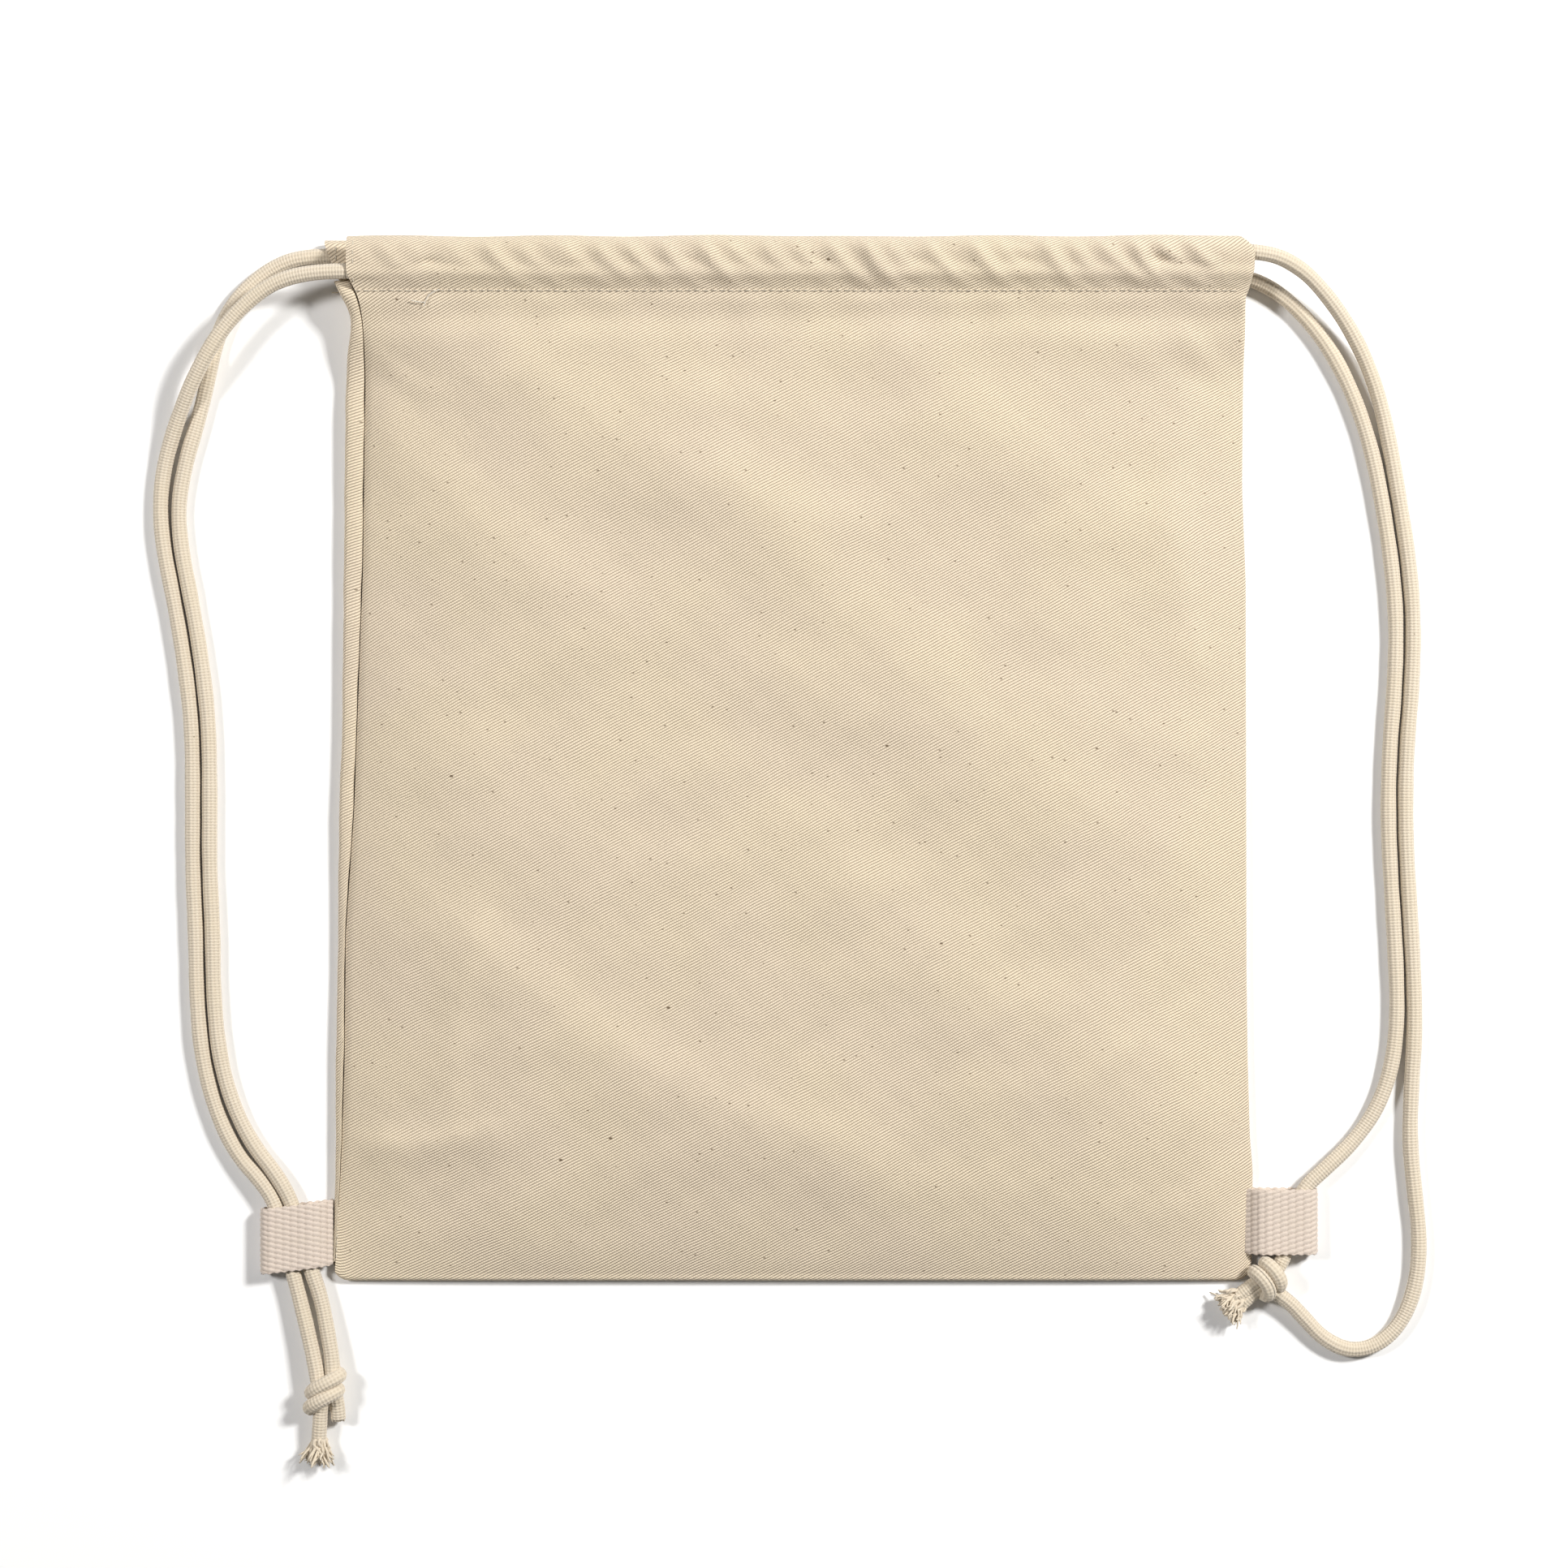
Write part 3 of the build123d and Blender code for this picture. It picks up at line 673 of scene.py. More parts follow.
CLIMB_LENGTH = 36.0                         # of the panel where it climbs to the hem
EDGE_SLOPE = 22.0                           # folds fade out this near the bag's edges
HEM_DIP = 1.9                               # the hollow below the row of stitches, and where it is
HEM_DIP_PLACE = 10.5


def along(table, y):
    """The value of a table of (y, value) at y, with its corners rounded a little."""
    table = np.array(table, float)
    shifts = (-2.4, -1.2, 0.0, 1.2, 2.4)
    return sum(np.interp(y + shift, table[:, 0], table[:, 1]) for shift in shifts) / len(shifts)


# Soft folds of the front panel: from, to, half width and height.
FOLDS = [
    ((-129, 168), (9, 92), 13, 2.3),
    ((-160, 132), (-66, 56), 13, 1.9),
    ((-22, 104), (120, -22), 17, 2.6),
    ((-116, -74), (10, -146), 12, 2.3),
    ((56, 146), (134, 92), 12, 1.3),
    ((10, -36), (150, -122), 16, 1.6),
    ((-168, -146), (-118, -142), 4, 1.0),
    ((150, 128), (154, 46), 6, 1.1),
    ((-150, 20), (-60, -40), 20, 1.2),
    ((96, 168), (150, 160), 5, 1.2),
    ((151, 163), (171, 147), 3.6, 1.5),
    ((140, 150), (172, 132), 4, 0.6),
    ((-60, 150), (60, 120), 12, 1.1),
    ((-160, 160), (-110, 171), 5, 0.8),
    ((60, 40), (150, 4), 12, 1.0),
    ((-120, -70), (-128, -130), 5, 0.8),
    ((-158, 156), (-140, 143), 3.0, 0.7),
    ((-40, 60), (40, 12), 10, 0.8),
]


def ridge_line(x, y, start, end, narrow, wide, rise):
    """A long low ridge from start to end, steeper on its upper side, that fades at both ends."""
    start, end = np.array(start, float), np.array(end, float)
    run = end - start
    length = np.linalg.norm(run)
    run = run / length
    along_run = (x - start[0]) * run[0] + (y - start[1]) * run[1]
    across = -(x - start[0]) * run[1] + (y - start[1]) * run[0]
    across = across + 0.06 * length * np.sin(along_run / length * 3.0)
    beyond = np.maximum(0, np.maximum(-along_run, along_run - length))
    breadth = np.where(across > 0, narrow, wide)
    return rise * np.exp(-0.5 * (across / breadth) ** 2 - 0.5 * (beyond / (1.5 * wide)) ** 2)


def fold_height(x, y):
    """How far the soft folds lift the cloth at each point."""
    return sum(ridge_line(x, y, a, b, 0.75 * width, 1.25 * width, rise) for a, b, width, rise in FOLDS)


def wave_noise(x, y, size, seed):
    """Smooth seeded waves whose crests are about size apart."""
    rng = random.Random(seed)
    total = np.zeros_like(x)
    for _ in range(9):
        angle = rng.uniform(0, math.pi)
        length = size * rng.uniform(0.7, 1.6)
        phase = rng.uniform(0, 2 * math.pi)
        total += np.sin(2 * np.pi * (x * math.cos(angle) + y * math.sin(angle)) / length + phase)
    return total / 3.0


def seam_depth(y):
    """How open the groove of the left side seam is, from nothing near the bottom to one."""
    return smoothstep((y - bottom_y - 12.0) / 60.0)


def panel_height(x, y):
    """The height of the front panel's cloth, up to where it climbs to the hem."""
    left = x - along(LEFT_EDGE, np.minimum(y, 160.0))
    right = along(RIGHT_EDGE, y) - x
    low = y - bottom_y
    rise = np.ones_like(x)
    for distance, width in ((left, RISE_WIDTH), (right, RISE_WIDTH), (low, RISE_WIDTH * 0.9)):
        rise *= 1 - (1 - np.clip(distance / width, 0, 1)) ** 2
    near_edge = smoothstep(np.minimum(np.minimum(left, right), low) / EDGE_SLOPE)
    base = 2 * EDGE_RADIUS + 0.4
    ripple = fold_height(x, y) + 0.30 * wave_noise(x, y, 40.0, 5) + 0.12 * wave_noise(x, y, 14.0, 6)
    height = base + (CREST - base) * rise ** 0.8 * 0.86 + ripple * near_edge
    height -= SEAM_DIP * seam_depth(y) * np.exp(-(((x - along(FRONT_LEFT, y)) / 1.3) ** 2))
    below = stitch_y - y
    climb = smoothstep(1 - below / CLIMB_LENGTH)
    level = front_run_z + 0.1 - HEM_DIP * np.exp(-0.5 * ((below - HEM_DIP_PLACE) / 4.5) ** 2)
    level = level + 0.35 * wave_noise(x, y, 24.0, 9) * smoothstep(below / 5.0)
    return height + (level - height) * climb


def add_puckers(x, y):
    """Slanting gathers over the hem, ridges about a dozen millimetres apart with soft valleys between."""
    rng = random.Random(21)
    total = np.zeros_like(x)
    place = -160.0
    while place < 166:
        strong = 0.45 if place < -118 else 1.0
        rise = rng.uniform(0.8, 1.6) * strong
        slant = rng.uniform(8.0, 13.0)
        top, foot = rng.uniform(195.0, 198.0), rng.uniform(180.0, 185.0)
        start, end = (place - slant / 2, top), (place + slant / 2 + 2.0, foot)
        total += ridge_line(x, y, start, end, 1.5, 2.3, rise)
        start, end = (start[0] + 5.5, start[1] - 2.5), (end[0] + 5.5, end[1])
        total -= ridge_line(x, y, start, end, 2.4, 2.4, 0.45 * rise)
        place += rng.uniform(9.0, 17.0)
    crease = ridge_line(x, y, (-169.0, 184.2), (-138.0, 188.2), 0.9, 1.6, 1.5)
    crease += ridge_line(x, y, (-136.0, 188.4), (-80.0, 187.6), 1.2, 2.0, 0.7)
    crease += ridge_line(x, y, (140.0, 190.0), (173.0, 186.0), 1.3, 1.9, 1.9)
    return total - crease


# The hem in section, from the row of stitches over its cords, round the fold and back:
# how far from the mouth's edge, the height above the cords' middle, and the share of the puckers.
HEM_SECTION = [
    (21.6, 0.0, 0.0), (20.6, 0.45, 0.15), (19.6, 1.0, 0.35), (18.4, 1.75, 0.6), (17.2, 2.45, 0.8),
    (16.0, 3.05, 1.0), (14.8, 3.45, 1.0), (13.6, 3.7, 1.0), (12.4, 3.9, 1.0), (11.2, 4.05, 1.0),
    (10.0, 4.2, 1.0), (8.8, 4.35, 1.0), (7.6, 4.45, 1.0), (6.4, 4.45, 1.0), (5.2, 4.3, 0.8),
    (4.0, 3.95, 0.6), (2.9, 3.35, 0.4), (1.9, 2.5, 0.2), (1.1, 1.5, 0.1), (0.6, 0.3, 0.0),
    (0.6, -0.9, 0.0), (1.2, -2.0, 0.0), (2.3, -2.9, 0.0), (4.0, -3.5, 0.0), (7.0, -3.65, 0.0),
    (11.0, -3.65, 0.0), (15.0, -3.6, 0.0), (18.4, -3.2, 0.0), (20.4, -2.2, 0.0), (21.4, -1.0, 0.0),
]
SEAM_GAP = 0.5                              # the groove of the left side seam
SEAM_DIP = 0.9
BORDER_STEP = 0.12
HEM_RAMP_DEPTH = 160.0

# The front's strips from left to right: how steeply the lift falls off towards the side, as a share
# of the outer strips' fall, and how many columns of faces each has.
STRIPS = {
    "left": (1.0, 48), "left_mid": (2 / 3, 19), "left_near": (1 / 3, 19), "middle": (0.0, 38),
    "right_near": (1 / 3, 19), "right_mid": (2 / 3, 19), "right": (1.0, 53),
}
BORDERS = (30.0, 60.0, 90.0)                # between strips, either side of the middle
SIDE_FALL = 1.0 / 105.0                     # of the lift, for each millimetre in the outer strips


def strip_spans(low, high):
    """Each strip's name and reach between two ends of the front."""
    edges = [low] + [-x for x in reversed(BORDERS)] + list(BORDERS) + [high]
    return list(zip(STRIPS, edges, edges[1:]))


def strip_lines():
    """For each strip, two points: where it would stop following the bag and where it would follow the hem.
    """
    names = list(STRIPS)
    lines = {"middle": ((0.0, stitch_y - HEM_RAMP_DEPTH), (0.0, stitch_y))}
    for side, outwards in ((-1, names[2::-1]), (1, names[4:])):
        lost = 0.0
        for name, near, far in zip(outwards, BORDERS, BORDERS[1:] + (BORDERS[-1],)):
            fall = SIDE_FALL * STRIPS[name][0]
            start = np.array([side * near, stitch_y - HEM_RAMP_DEPTH * (1 - lost)])
            slope = np.array([-side * fall, 1 / HEM_RAMP_DEPTH])
            lines[name] = (tuple(start), tuple(start + slope / (slope @ slope)))
            lost += fall * (far - near)
    return lines


FRONT_LINES = strip_lines()


def blend_front(piece, zone):
    """Hands a piece of the front and its strip's two points to blend_between, which only bakes its place
    into its mesh.
    """
    blend_between(piece, "front_hem", *FRONT_LINES[zone], front_run_z)


def corner_pull(x, y):
    """Moves the bottom rows up where the bag's two lower corners are rounded."""
    lift = np.zeros_like(x)
    for edge in (along(LEFT_EDGE, y), along(RIGHT_EDGE, y)):
        into = np.clip(1 - np.abs(edge - x) / CORNER_RADIUS, 0, 1)
        lift = np.maximum(lift, CORNER_RADIUS * (1 - np.sqrt(1 - into**2)))
    return lift * np.clip(1 - (y - bottom_y) / 30.0, 0, 1)


def front_columns():
    """Columns of the front as (strip, share of its width), with a close pair at each border."""
    columns = []
    for name, low, high in strip_spans(-165.0, 176.0):
        near = BORDER_STEP / (high - low)
        shares = list(np.linspace(0, 1, STRIPS[name][1] + 1)[:-1])
        if name != "left":
            shares.insert(1, near)
        columns += [(name, share) for share in shares]
        columns.append((name, 1.0 if name == "right" else 1 - near))
    return columns


def front_x(columns, y):
    """Where the columns are, y along the bag."""
    low, high = along(FRONT_LEFT, y) + SEAM_GAP * seam_depth(y), along(RIGHT_EDGE, y) - EDGE_RADIUS
    span = {name: (start, end) for name, start, end in strip_spans(low, high)}
    return np.array([span[zone][0] + (span[zone][1] - span[zone][0]) * share for zone, share in columns])


def front_rows():
    """The rows of the front, from under its bottom edge to the end of the hem's fold."""
    rows = []
    for angle in (-80, -50, -20, 10, 40, 65):
        turn = math.radians(angle)
        rows.append(("edge", bottom_y + EDGE_RADIUS * (1 - math.cos(turn)), (1 + math.sin(turn)) / 2))
    rows += [("panel", y, 0.0) for y in np.arange(bottom_y + EDGE_RADIUS, stitch_y - 12.0, 1.7)]
    rows += [("panel", y, 0.0) for y in np.arange(stitch_y - 11.0, stitch_y - 0.5, 1.1)]
    rows += [("hem", mouth_y - depth, (height, share)) for depth, height, share in HEM_SECTION]
    return rows


def front_row(row, columns):
    """The points of one row of the front."""
    kind, place, shape = row
    x = front_x(columns, place)
    y = np.full_like(x, place)
    if kind == "edge":
        z = EDGE_Z + shape * (panel_height(x, y + EDGE_RADIUS) - EDGE_Z)
    elif kind == "panel":
        z = panel_height(x, y)
    else:
        height = shape[0] * (1 + 0.14 * wave_noise(x, x * 0, 26.0, 12))
        z = front_run_z + height + add_puckers(x, y) * shape[1]
        z += 0.15 * wave_noise(x, y, 30.0, 4) * shape[1]
        if shape[0] > 0:
            for lane in (lane_low, lane_high):
                over_cord = max(0.0, COVERED_CORD**2 - (place - lane) ** 2) ** 0.5
                z = np.maximum(z, front_run_z + over_cord)
        y = y + 0.3 * wave_noise(x, x * 0, 45.0, 3) * smoothstep((place - 190) / 10)
    return np.stack([x, y + corner_pull(x, y), z], axis=1)


def surface_normals(surface):
    """Unit normals of a grid of points."""
    across = np.gradient(surface, axis=1)
    along_rows = np.gradient(surface, axis=0)
    normals = np.cross(across, along_rows)
    return normals / np.maximum(np.linalg.norm(normals, axis=2, keepdims=True), 1e-9)


def right_wrap(surface, rows):
    """Carries the panel's right edge round under the bag, and turns the hem's end in a little."""
    edge = surface[:, -1]
    inward = -surface_normals(surface)[:, -2]
    inward[:, 0] = 0
    inward /= np.linalg.norm(inward, axis=1, keepdims=True)
    wrapped = []
    for angle in (20, 45, 70, 95, 120, 145, 168):
        turn = math.radians(angle)
        points = edge.copy()
        for k, row in enumerate(rows):
            if row[0] == "hem":
                points[k] += inward[k] * LIP_RADIUS * (1 - math.cos(turn))
            else:
                points[k, 2] -= (edge[k, 2] - FLOOR_Z) / 2 * (1 - math.cos(turn))
            points[k, 0] += EDGE_RADIUS * math.sin(turn)
        wrapped.append(points)
    return np.concatenate([surface, np.array(wrapped).transpose(1, 0, 2)], axis=1)


def cloth_between(outer, inner):
    """Points and faces of a closed solid between two grids of points, and its rim."""
    rows, columns = outer.shape[:2]
    count = rows * columns
    faces = grid_faces(rows, columns)
    faces += [tuple(count + i for i in reversed(face)) for face in grid_faces(rows, columns)]
    rim = list(range(columns))
    rim += [row * columns + columns - 1 for row in range(1, rows)]
    rim += [(rows - 1) * columns + k for k in range(columns - 2, -1, -1)]
    rim += [row * columns for row in range(rows - 2, 0, -1)]
    for a, b in zip(rim, rim[1:] + rim[:1]):
        faces.append((b, a, count + a, count + b))
    return np.concatenate([outer.reshape(-1, 3), inner.reshape(-1, 3)]), faces, (rim, count)


def sharpen_rim(piece, rim, count):
    """Keeps the cloth's cut edge crisp, so that its faces shade smoothly up to it."""
    marked = {tuple(sorted(pair)) for pair in zip(rim, rim[1:] + rim[:1])}
    marked |= {(a + count, b + count) for a, b in marked}
    for edge in piece.data.edges:
        if tuple(sorted(edge.vertices)) in marked:
            edge.use_edge_sharp = True


def flat_cloth(surface):
    """Where each point of a cloth lies when it is flattened: x across, and the mean length of the rows."""
    across = np.linalg.norm(np.diff(surface, axis=1), axis=2).mean(axis=0)
    along_rows = np.linalg.norm(np.diff(surface, axis=0), axis=2).mean(axis=1)
    u = surface[len(surface) // 2, 0, 0] + np.concatenate([[0], np.cumsum(across)])
    v = surface[0, 0, 1] + np.concatenate([[0], np.cumsum(along_rows)])
    return np.stack(np.meshgrid(u, v), axis=2)


def add_cloth(name, outer, inner, material, body, flat=None):
    """A piece of canvas between its outer and inner faces."""
    points, faces, (rim, count) = cloth_between(outer, inner)
    flat = (flat_cloth(outer) if flat is None else flat).reshape(-1, 2)
    piece = add_mesh(name, points, faces, material, body, np.concatenate([flat, flat]))
    sharpen_rim(piece, rim, count)
    return piece


def add_front():
    """The front of the bag, panel and hem in one, in strips that meet edge to edge."""
    rows, columns = front_rows(), front_columns()
    outer = right_wrap(np.array([front_row(row, columns) for row in rows]), rows)
    inner = outer - surface_normals(outer) * CLOTH * 0.9
    inner[..., 2] = np.maximum(inner[..., 2], CLEAR_Z)
    flat = flat_cloth(outer)
    starts = [k for k, (_, share) in enumerate(columns) if share == 0] + [outer.shape[1]]
    made = []
    for zone, first, after in zip(STRIPS, starts, starts[1:]):
        part = slice(first, after + 1)
        grids = outer[:, part], inner[:, part]
        piece = add_cloth(f"front_cloth_{zone}", *grids, CANVAS, None, flat[:, part])
        blend_front(piece, zone)
        made.append(piece)
    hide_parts("front_panel", "front_channel")
    return made


front = add_front()


# The back's hem in section: how far from the mouth's edge, and the height.
BACK_HEM_SECTION = [
    (21.6, 0.5), (19.0, 0.45), (14.0, 0.42), (8.0, 0.42), (3.6, 0.5), (2.2, 1.0), (1.2, 2.2), (0.9, 4.1),
    (1.3, 5.8), (2.4, 7.0), (3.8, 7.6), (6.5, 7.8), (9.8, 7.5), (12.5, 7.7), (15.5, 7.6), (18.2, 6.4),
    (20.0, 4.0), (21.4, 2.2),
]


def add_back():
    """The back of the bag, flat on the floor, with its own hem, whose left mouth is cut at a slant."""
    rows = [(y, FLOOR_Z, 0.0) for y in np.arange(bottom_y + 1.0, stitch_y - 2.0, 3.0)]
    rows += [(mouth_y - depth, height, 1.0) for depth, height in BACK_HEM_SECTION]
    shares = np.linspace(0, 1, 230)
    outer = []
    for place, height, is_hem in rows:
        y = np.full_like(shares, place)
        left = along(LEFT_EDGE, y)
        right = along(RIGHT_EDGE, y) - EDGE_RADIUS - 1.0
        if is_hem:
            left = np.full_like(shares, back_low[0] - 2.0 + np.clip(197.5 - place, 0, 16) * 0.42)
            right = np.full_like(shares, back_high[0] - 1.0)
        x = left + (right - left) * shares
        lift = (0.12 if is_hem else 0.05) * wave_noise(x, y, 18.0 if is_hem else 40.0, 13)
        outer.append(np.stack([x, y + corner_pull(x, y), np.maximum(height + lift, FLOOR_Z)], axis=1))
    outer = np.array(outer)
    normals = surface_normals(outer)
    half = normals * CLOTH * 0.48
    piece = add_cloth("back_cloth", outer + half, outer - half, CANVAS_BACK, "bag")
    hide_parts("back_panel", "back_channel")
    return piece


back = add_back()


def add_left_wrap():
    """The strip of the back panel that rolls over the left edge up to the side seam."""
    rows = []
    for y in np.arange(bottom_y + 1.2, stitch_y + 5.0, 1.8):
        place = np.array([y])
        edge = float(along(LEFT_EDGE, place)[0])
        seam = float(along(FRONT_LEFT, place)[0])
        crown = float(panel_height(np.array([seam + 1.0]), np.minimum(place, stitch_y - 1.0))[0])
        crown -= 0.9 * max(0.0, y - stitch_y)
        half = (crown - FLOOR_Z) / 2
        reach = min(EDGE_RADIUS, (seam - edge) * 0.6)
        roll = []
        for angle in (178, 155, 130, 105, 80, 58, 38, 20, 6):
            turn = math.radians(angle)
            roll.append((edge + reach * (1 - math.sin(turn)), FLOOR_Z + half * (1 + math.cos(turn))))
        wave = 0.3 * math.sin(y / 6.1) + 0.2 * math.sin(y / 2.9 + 1.0)
        last = roll[-1][0]
        for share in (0.4, 0.75, 0.95):
            roll.append((last + (seam - last) * share, crown + 0.25 * math.sin(math.pi * share)))
        roll.append((seam + 0.05, crown - 0.7))
        roll.append((seam + 0.25, crown - 2.0))
        pull = float(corner_pull(np.array([edge]), place)[0])
        rows.append([(x + 0.3 * wave, y + pull, z + (0.35 * wave if z > 1 else 0)) for x, z in roll])
    outer = np.array(rows)
    inner = outer - surface_normals(outer) * 0.55
    inner[..., 2] = np.maximum(inner[..., 2], CLEAR_Z)
    return add_cloth("left_edge_wrap", outer, inner, CANVAS, "bag")


left_wrap = add_left_wrap()

SEAM_WIDTH = 8.0
SEAM_Z = 1.7
OVERLOCK_STEPS = (-1.2, 0.9)                # the zigzag's two sides, from the edge of the allowance


def seam_line(side):
    """Points just inside an edge of the bag, where the two panels are sewn, and the way into the bag."""
    if side == "bottom":
        x = np.linspace(-160.0, 162.0, 200)
        return np.stack([x, np.full_like(x, bottom_y + 2.2)], axis=1), (0.0, 1.0)
    y = np.arange(bottom_y + 10.0, stitch_y - 6.0, 1.8)
    if side == "left":
        return np.stack([along(LEFT_EDGE, y) + 2.3, y], axis=1), (1.0, 0.0)
    return np.stack([along(RIGHT_EDGE, y) - 2.3, y], axis=1), (-1.0, 0.0)


def add_seam_allowances():
    """The turned-in edges of the two panels, and the thread that is whipped over them."""
    for side in ("left", "right", "bottom"):
        line, into = seam_line(side)
        steps = np.linspace(0, SEAM_WIDTH, 7)
        if side == "bottom":
            line = line[::-1]
        if side == "right":
            steps = steps[::-1]
        x = line[:, None, 0] + into[0] * steps
        y = line[:, None, 1] + into[1] * steps
        z = SEAM_Z + 0.12 * wave_noise(x, y, 15.0, 31)
        outer = np.stack([x, y, z], axis=2)
        piece = add_cloth(f"{side}_seam_cloth", outer, outer - [0, 0, 0.75], CANVAS_BACK, "bag")
        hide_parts(f"{side}_seam_allowance")
        centre = line[::3] + np.array(into) * SEAM_WIDTH
        zigzag = []
        for k, (cx, cy) in enumerate(centre):
            step = OVERLOCK_STEPS[k % 2]
            zigzag.append((cx + into[0] * step, cy + into[1] * step, SEAM_Z + 0.25))
        points, travelled = resample(np.array(zigzag), 0.5)
        verts, faces, uv = braided_tube(points, travelled, 0.32, sides=8)
        piece = add_mesh(f"{side}_overlock_zigzag", verts, faces, OVERLOCK, "bag", uv)
        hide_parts(f"{side}_overlock_thread")


add_seam_allowances()


# ------------------------------------------------------------------ cords inside the channels
def add_run(name, x_from, x_to, y, z, body, replaced):
    """A straight stretch of cord in a channel."""
    x = np.linspace(x_from, x_to, max(2, int(abs(x_to - x_from) / 1.2)))
    points = np.stack([x, np.full_like(x, y), np.full_like(x, z)], axis=1)
    return add_cord(name, points, np.abs(x - x_from), body, replaced, PACKED_RADIUS)


def add_runs():
    """The drawcords where they run through the hems and turn back."""
    ends = {side: box_mm(f"{side}_cord_front_run") for side in SIDES}
    for side, lane in (("left", lane_low), ("right", lane_high)):
        low, high = ends[side][0][0], ends[side][1][0]
        for zone, x_from, x_to in strip_spans(low, high):
            node = f"{side}_cord_front_run"
            replaced = node if zone == "middle" else None
            piece = add_run(f"{node}_{zone}", x_from, x_to, lane, front_run_z, None, replaced)
            blend_front(piece, zone)
    for side, lane in (("left", lane_high), ("right", lane_low)):
        node = f"{side}_cord_back_run"
        low, high = box_mm(node)
        add_run(f"{node}_rope", low[0], high[0], lane, back_run_z, "bag", node)


add_runs()


def add_turns():
    """The half turn of each cord from the front channel down into the back one."""
    lanes = {"left": (lane_low, lane_high), "right": (lane_high, lane_low)}
    for side, (front_lane, back_lane) in lanes.items():
        sign = -SIDES[side]
        low, high = box_mm(f"{side}_cord_turn")
        front = np.array([0.0, front_lane, front_run_z])
        back = np.array([0.0, back_lane, back_run_z])
        radius = np.linalg.norm(front - back) / 2
        start_x = low[0] if sign > 0 else high[0]
        angle = np.linspace(0, np.pi, 40)
        points = (front + back) / 2 + np.cos(angle)[:, None] * (front - back) / 2
        points[:, 0] = start_x + sign * radius * np.sin(angle)
        name, node = f"{side}_cord_half_turn", f"{side}_cord_turn"
        piece = add_cord(name, points, angle * radius, None, node, PACKED_RADIUS)
        blend_front(piece, "right" if sign > 0 else "left")


add_turns()


# ------------------------------------------------------------------ webbing tabs
WEB_BAR = 2.9
WEB_ROW = 1.95
WEB_RELIEF = 0.5
WEB_THICK = 1.2
WEB_EDGE = 1.2                              # the thinner selvedge
TAB_SKEW = {"left": -0.12, "right": 0.0}    # how far each tab slants, as a share of its reach


def bar_relief(s, w):
    """The height of the slanting bars of chunky webbing, from 0 in a gap to 1 on a bar."""
    column = np.floor(s / WEB_BAR)
    inside = s / WEB_BAR - column
    row = (w + 0.9 * inside + 0.5 * WEB_ROW * (column % 2)) / WEB_ROW
    bar = np.abs(np.sin(np.pi * row)) ** 0.7
    return bar * np.sin(np.pi * np.clip(inside, 0.04, 0.96)) ** 0.4


def add_tab(side):
    """A folded loop of webbing, its two layers meeting in the side seam."""
    sign = SIDES[side]
    low, high = tab_low[side], tab_high[side]
    width = high[1] - low[1]
    middle_y = (low[1] + high[1]) / 2
    end = max(abs(low[0]), abs(high[0]))
    root = min(abs(low[0]), abs(high[0])) - 1.6
    top_z = high[2] - WEB_THICK / 2
    floor_z = WEB_THICK / 2 + 0.06
    radius = (top_z - floor_z) / 2
    bend_x = end - radius - WEB_THICK / 2
    path = [(root, 2.0), (root + 1.5, 1.3), (root + 4.0, floor_z + 0.15), (root + 8.0, floor_z)]
    path += [(x, floor_z) for x in np.linspace(root + 9.0, bend_x, 10)]
    for angle in np.linspace(-80, 80, 15):
        turn = math.radians(angle)
        path.append((bend_x + radius * math.cos(turn), (floor_z + top_z) / 2 + radius * math.sin(turn)))
    path += [(x, top_z) for x in np.linspace(bend_x, root + 8.0, 10)]
    path += [(root + 5.0, top_z - 0.8), (root + 2.6, top_z - 2.6)]
    path += [(root + 1.0, top_z - 4.0), (root, top_z - 4.6)]
    line, travelled = resample(np.array([(x, 0.0, z) for x, z in path]), 0.42)
    tangent = np.gradient(line, axis=0)
    tangent /= np.linalg.norm(tangent, axis=1)[:, None]
    outward = np.stack([tangent[:, 2], np.zeros(len(line)), -tangent[:, 0]], axis=1)
    w = np.linspace(-width / 2, width / 2, 72)
    s_grid, w_grid = np.meshgrid(travelled, w, indexing="ij")
    relief = bar_relief(s_grid, w_grid)
    edge = 1 - 0.55 * smoothstep((np.abs(w_grid) - width / 2 + WEB_EDGE) / WEB_EDGE)
    layers = []
    for face in (1, -1):
        reach = (WEB_THICK / 2 - WEB_RELIEF + WEB_RELIEF * relief) * edge * face
        x = line[:, None, 0] + outward[:, None, 0] * reach
        z = line[:, None, 2] + outward[:, None, 2] * reach
        ragged = 0.22 * np.sin(s_grid * 2 * np.pi / WEB_BAR) * (np.abs(w_grid) > width / 2 - 0.5)
        y = middle_y + w_grid + ragged * np.sign(w_grid) + TAB_SKEW[side] * (x - (root + end) / 2)
        layers.append(np.stack([sign * x, y, np.maximum(z, 0.03)], axis=2))
    uv = np.stack([s_grid, relief], axis=2).reshape(-1, 2)
    points, faces, _ = cloth_between(*layers)
    name = f"{side}_webbing_loop"
    piece = add_mesh(name, points, faces, WEBBING, "bag", np.concatenate([uv, uv]))
    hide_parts(f"{side}_tab")


for side in SIDES:
    add_tab(side)


# ------------------------------------------------------------------ stitches
STITCH_PITCH = 3.1
STITCH_LENGTH = 2.6
STITCH_RADIUS = 0.27


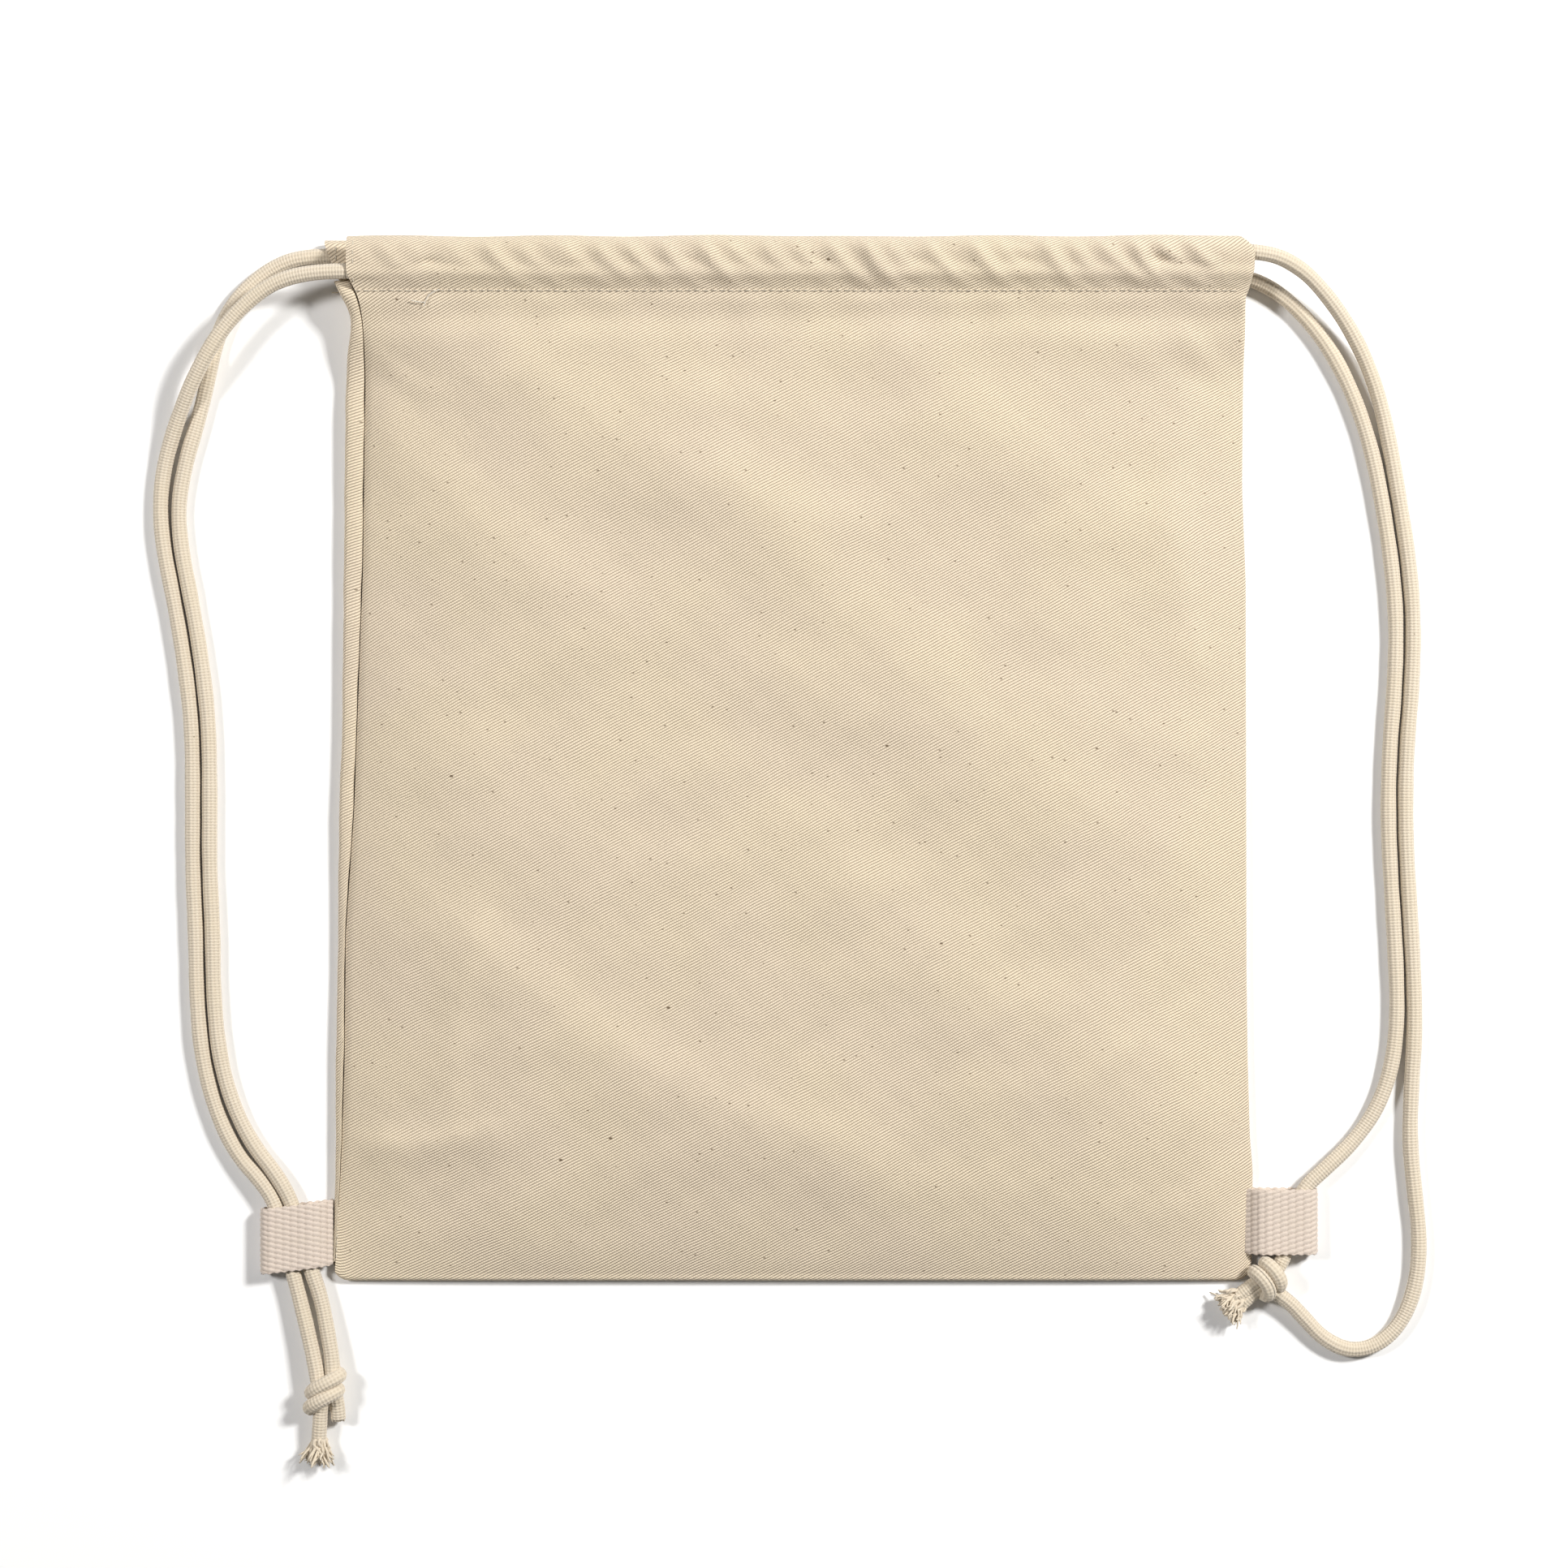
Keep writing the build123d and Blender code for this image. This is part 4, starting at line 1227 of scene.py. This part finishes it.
def stitch(centre, direction, length, first):
    """One stitch: a short thread that dives into the cloth at both ends, its points numbered from first."""
    direction = np.array(direction, float)
    direction /= np.linalg.norm(direction)
    across = np.array([-direction[1], direction[0], 0.0])
    across /= np.linalg.norm(across)
    up = np.cross(direction, across)
    sides, rings = 6, 7
    verts = []
    for k in range(rings):
        t = 2 * k / (rings - 1) - 1
        middle = np.array(centre) + direction * t * length / 2 - up * (0.45 * t**4)
        size = STITCH_RADIUS * (1 - 0.5 * t**4)
        for n in range(sides):
            turn = 2 * math.pi * n / sides
            verts.append(middle + (across * math.cos(turn) + up * math.sin(turn) * 0.8) * size)
    return verts, tube_faces(rings, sides, first)


def add_stitches(name, stitches, replaced=None, body="bag"):
    """Many stitches as one mesh, each a middle, a direction and a length."""
    verts, faces = [], []
    for one in stitches:
        more_verts, more_faces = stitch(*one, len(verts))
        verts += more_verts
        faces += more_faces
    piece = add_mesh(name, verts, faces, THREAD, body)
    if replaced:
        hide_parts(replaced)
    return piece


def spread_evenly(x_from, x_to):
    """The middles of the stitches in a row."""
    count = int((x_to - x_from) / STITCH_PITCH)
    return [x_from + (k + 0.5) * (x_to - x_from) / count for k in range(count)]


def add_hem_stitching():
    """The row of stitches under each hem."""
    for zone, x_from, x_to in strip_spans(front_low[0] + 3.0, front_high[0] - 1.5):
        rng = random.Random(len(zone))
        stitches = []
        for x in spread_evenly(x_from, x_to):
            y = stitch_y + 0.15 + 0.08 * rng.uniform(-1, 1)
            stitches.append(((x, y, front_run_z + 0.42), (1, 0.03 * rng.uniform(-1, 1), 0), STITCH_LENGTH))
        replaced = "front_hem_stitching" if zone == "middle" else None
        blend_front(add_stitches(f"front_hem_stitches_{zone}", stitches, replaced, None), zone)
    places = [(x, stitch_y + 1.2, 3.1) for x in spread_evenly(back_low[0], back_high[0])]
    stitches = [(place, (1, 0, 0), STITCH_LENGTH) for place in places]
    add_stitches("back_hem_stitches", stitches, "back_hem_stitching")


add_hem_stitching()


def hem_top(depth):
    """The height of the front hem's outer face, depth below the mouth's edge."""
    upper = np.array(HEM_SECTION[:20])[::-1]
    return front_run_z + float(np.interp(depth, upper[:, 0], upper[:, 1]))


def add_end_stitching():
    """Short upright rows of stitches beside the channels' mouths."""
    stitches = []
    for k in range(5):
        depth = 4.0 + k * 3.4
        centre = (front_low[0] + 3.0, mouth_y - depth, hem_top(depth) + 0.05)
        slope = hem_top(depth + 1) - hem_top(depth - 1)
        stitches.append((centre, (0.05, -1, slope / 2), STITCH_LENGTH))
    name = "front_channel_end_stitches_left"
    blend_front(add_stitches(name, stitches, "front_channel_end_stitching", None), "left")
    places = [(back_low[0] + 2.5, mouth_y - 4.5 - 3.2 * k, 8.3) for k in range(4)]
    stitches = [(place, (0, 1, 0), STITCH_LENGTH) for place in places]
    add_stitches("back_channel_end_stitches", stitches, "back_channel_end_stitching")


add_end_stitching()


def add_tab_stitching():
    """Stitches of the side seam where it holds each tab."""
    for side, sign in SIDES.items():
        stitches = []
        low, high = tab_low[side][1], tab_high[side][1]
        edges = LEFT_EDGE if sign < 0 else RIGHT_EDGE
        for y in np.arange(max(low, bottom_y + 8) + 1.5, high - 0.5, 2.6):
            x = float(along(edges, y)) - sign * 1.5
            z = float(panel_height(np.array([x]), np.array([y]))[0]) + 0.05
            stitches.append(((x, y, z), (0, 1, 0), 2.0))
        add_stitches(f"{side}_tab_stitches", stitches, f"{side}_tab_bartack")


add_tab_stitching()


def add_stray_threads():
    """Two loose bits of thread that lie on the cloth under the hem."""
    paths = {
        "stray_thread_long": [(-138.9, 172.4), (-138.0, 175.2), (-136.0, 177.8), (-132.8, 178.8)],
        "stray_thread_short": [(-143.6, 174.8), (-141.2, 173.9), (-138.6, 174.0)],
    }
    for name, route in paths.items():
        places = [(x, y, front_run_z + (1.4 if y > 178 else 0.8)) for x, y in route]
        points, travelled = spline_points(name, places, 0.4)
        verts, faces, uv = braided_tube(points, travelled, 0.17, sides=8)
        piece = add_mesh(name, verts, faces, PALE_THREAD, None)
        blend_front(piece, "left")


def declare_cords():
    """Goes through the strands and their sides, and does nothing with them."""
    for node, (piece, points, length) in strands.items():
        side = node.split("_")[0]


declare_cords()


# ------------------------------------------------------------------ floor and lights
def add_floor():
    """A wide pale floor under the bag."""
    half, top = 3000.0 * MM, -0.02 * MM
    corners = [(-half, -half, top), (half, -half, top), (half, half, top), (-half, half, top)]
    data = bpy.data.meshes.new("floor")
    data.from_pydata(corners, [], [(0, 1, 2, 3)])
    data.materials.append(floor_material())
    floor = bpy.data.objects.new("floor", data)
    bpy.context.scene.collection.objects.link(floor)


def add_light(name, place, size, power, colour=(1.0, 1.0, 1.0)):
    """A soft square lamp that faces the bag."""
    data = bpy.data.lights.new(name, "AREA")
    data.shape = "SQUARE"
    data.size = size
    data.energy = power
    data.color = colour
    lamp = bpy.data.objects.new(name, data)
    bpy.context.scene.collection.objects.link(lamp)
    lamp.location = place
    lamp.rotation_euler = Vector(place).to_track_quat("Z", "Y").to_euler()


def add_lights():
    """A key lamp, a weaker one from the left, a wide faint one overhead and a dim white room."""
    add_light("key", (1.6, 0.95, 1.75), 0.42, 75, (1.0, 0.99, 0.97))
    add_light("side", (-1.55, 0.5, 1.8), 0.42, 30, (1.0, 0.985, 0.975))
    add_light("overhead", (0.0, 0.0, 2.6), 1.6, 2)
    world = bpy.data.worlds.new("world")
    world.use_nodes = True
    background = world.node_tree.nodes["Background"]
    background.inputs["Color"].default_value = (1.0, 1.0, 1.0, 1.0)
    background.inputs["Strength"].default_value = 0.06
    bpy.context.scene.world = world
    bpy.context.scene.view_settings.view_transform = "Standard"


add_floor()
add_lights()
add_stray_threads()
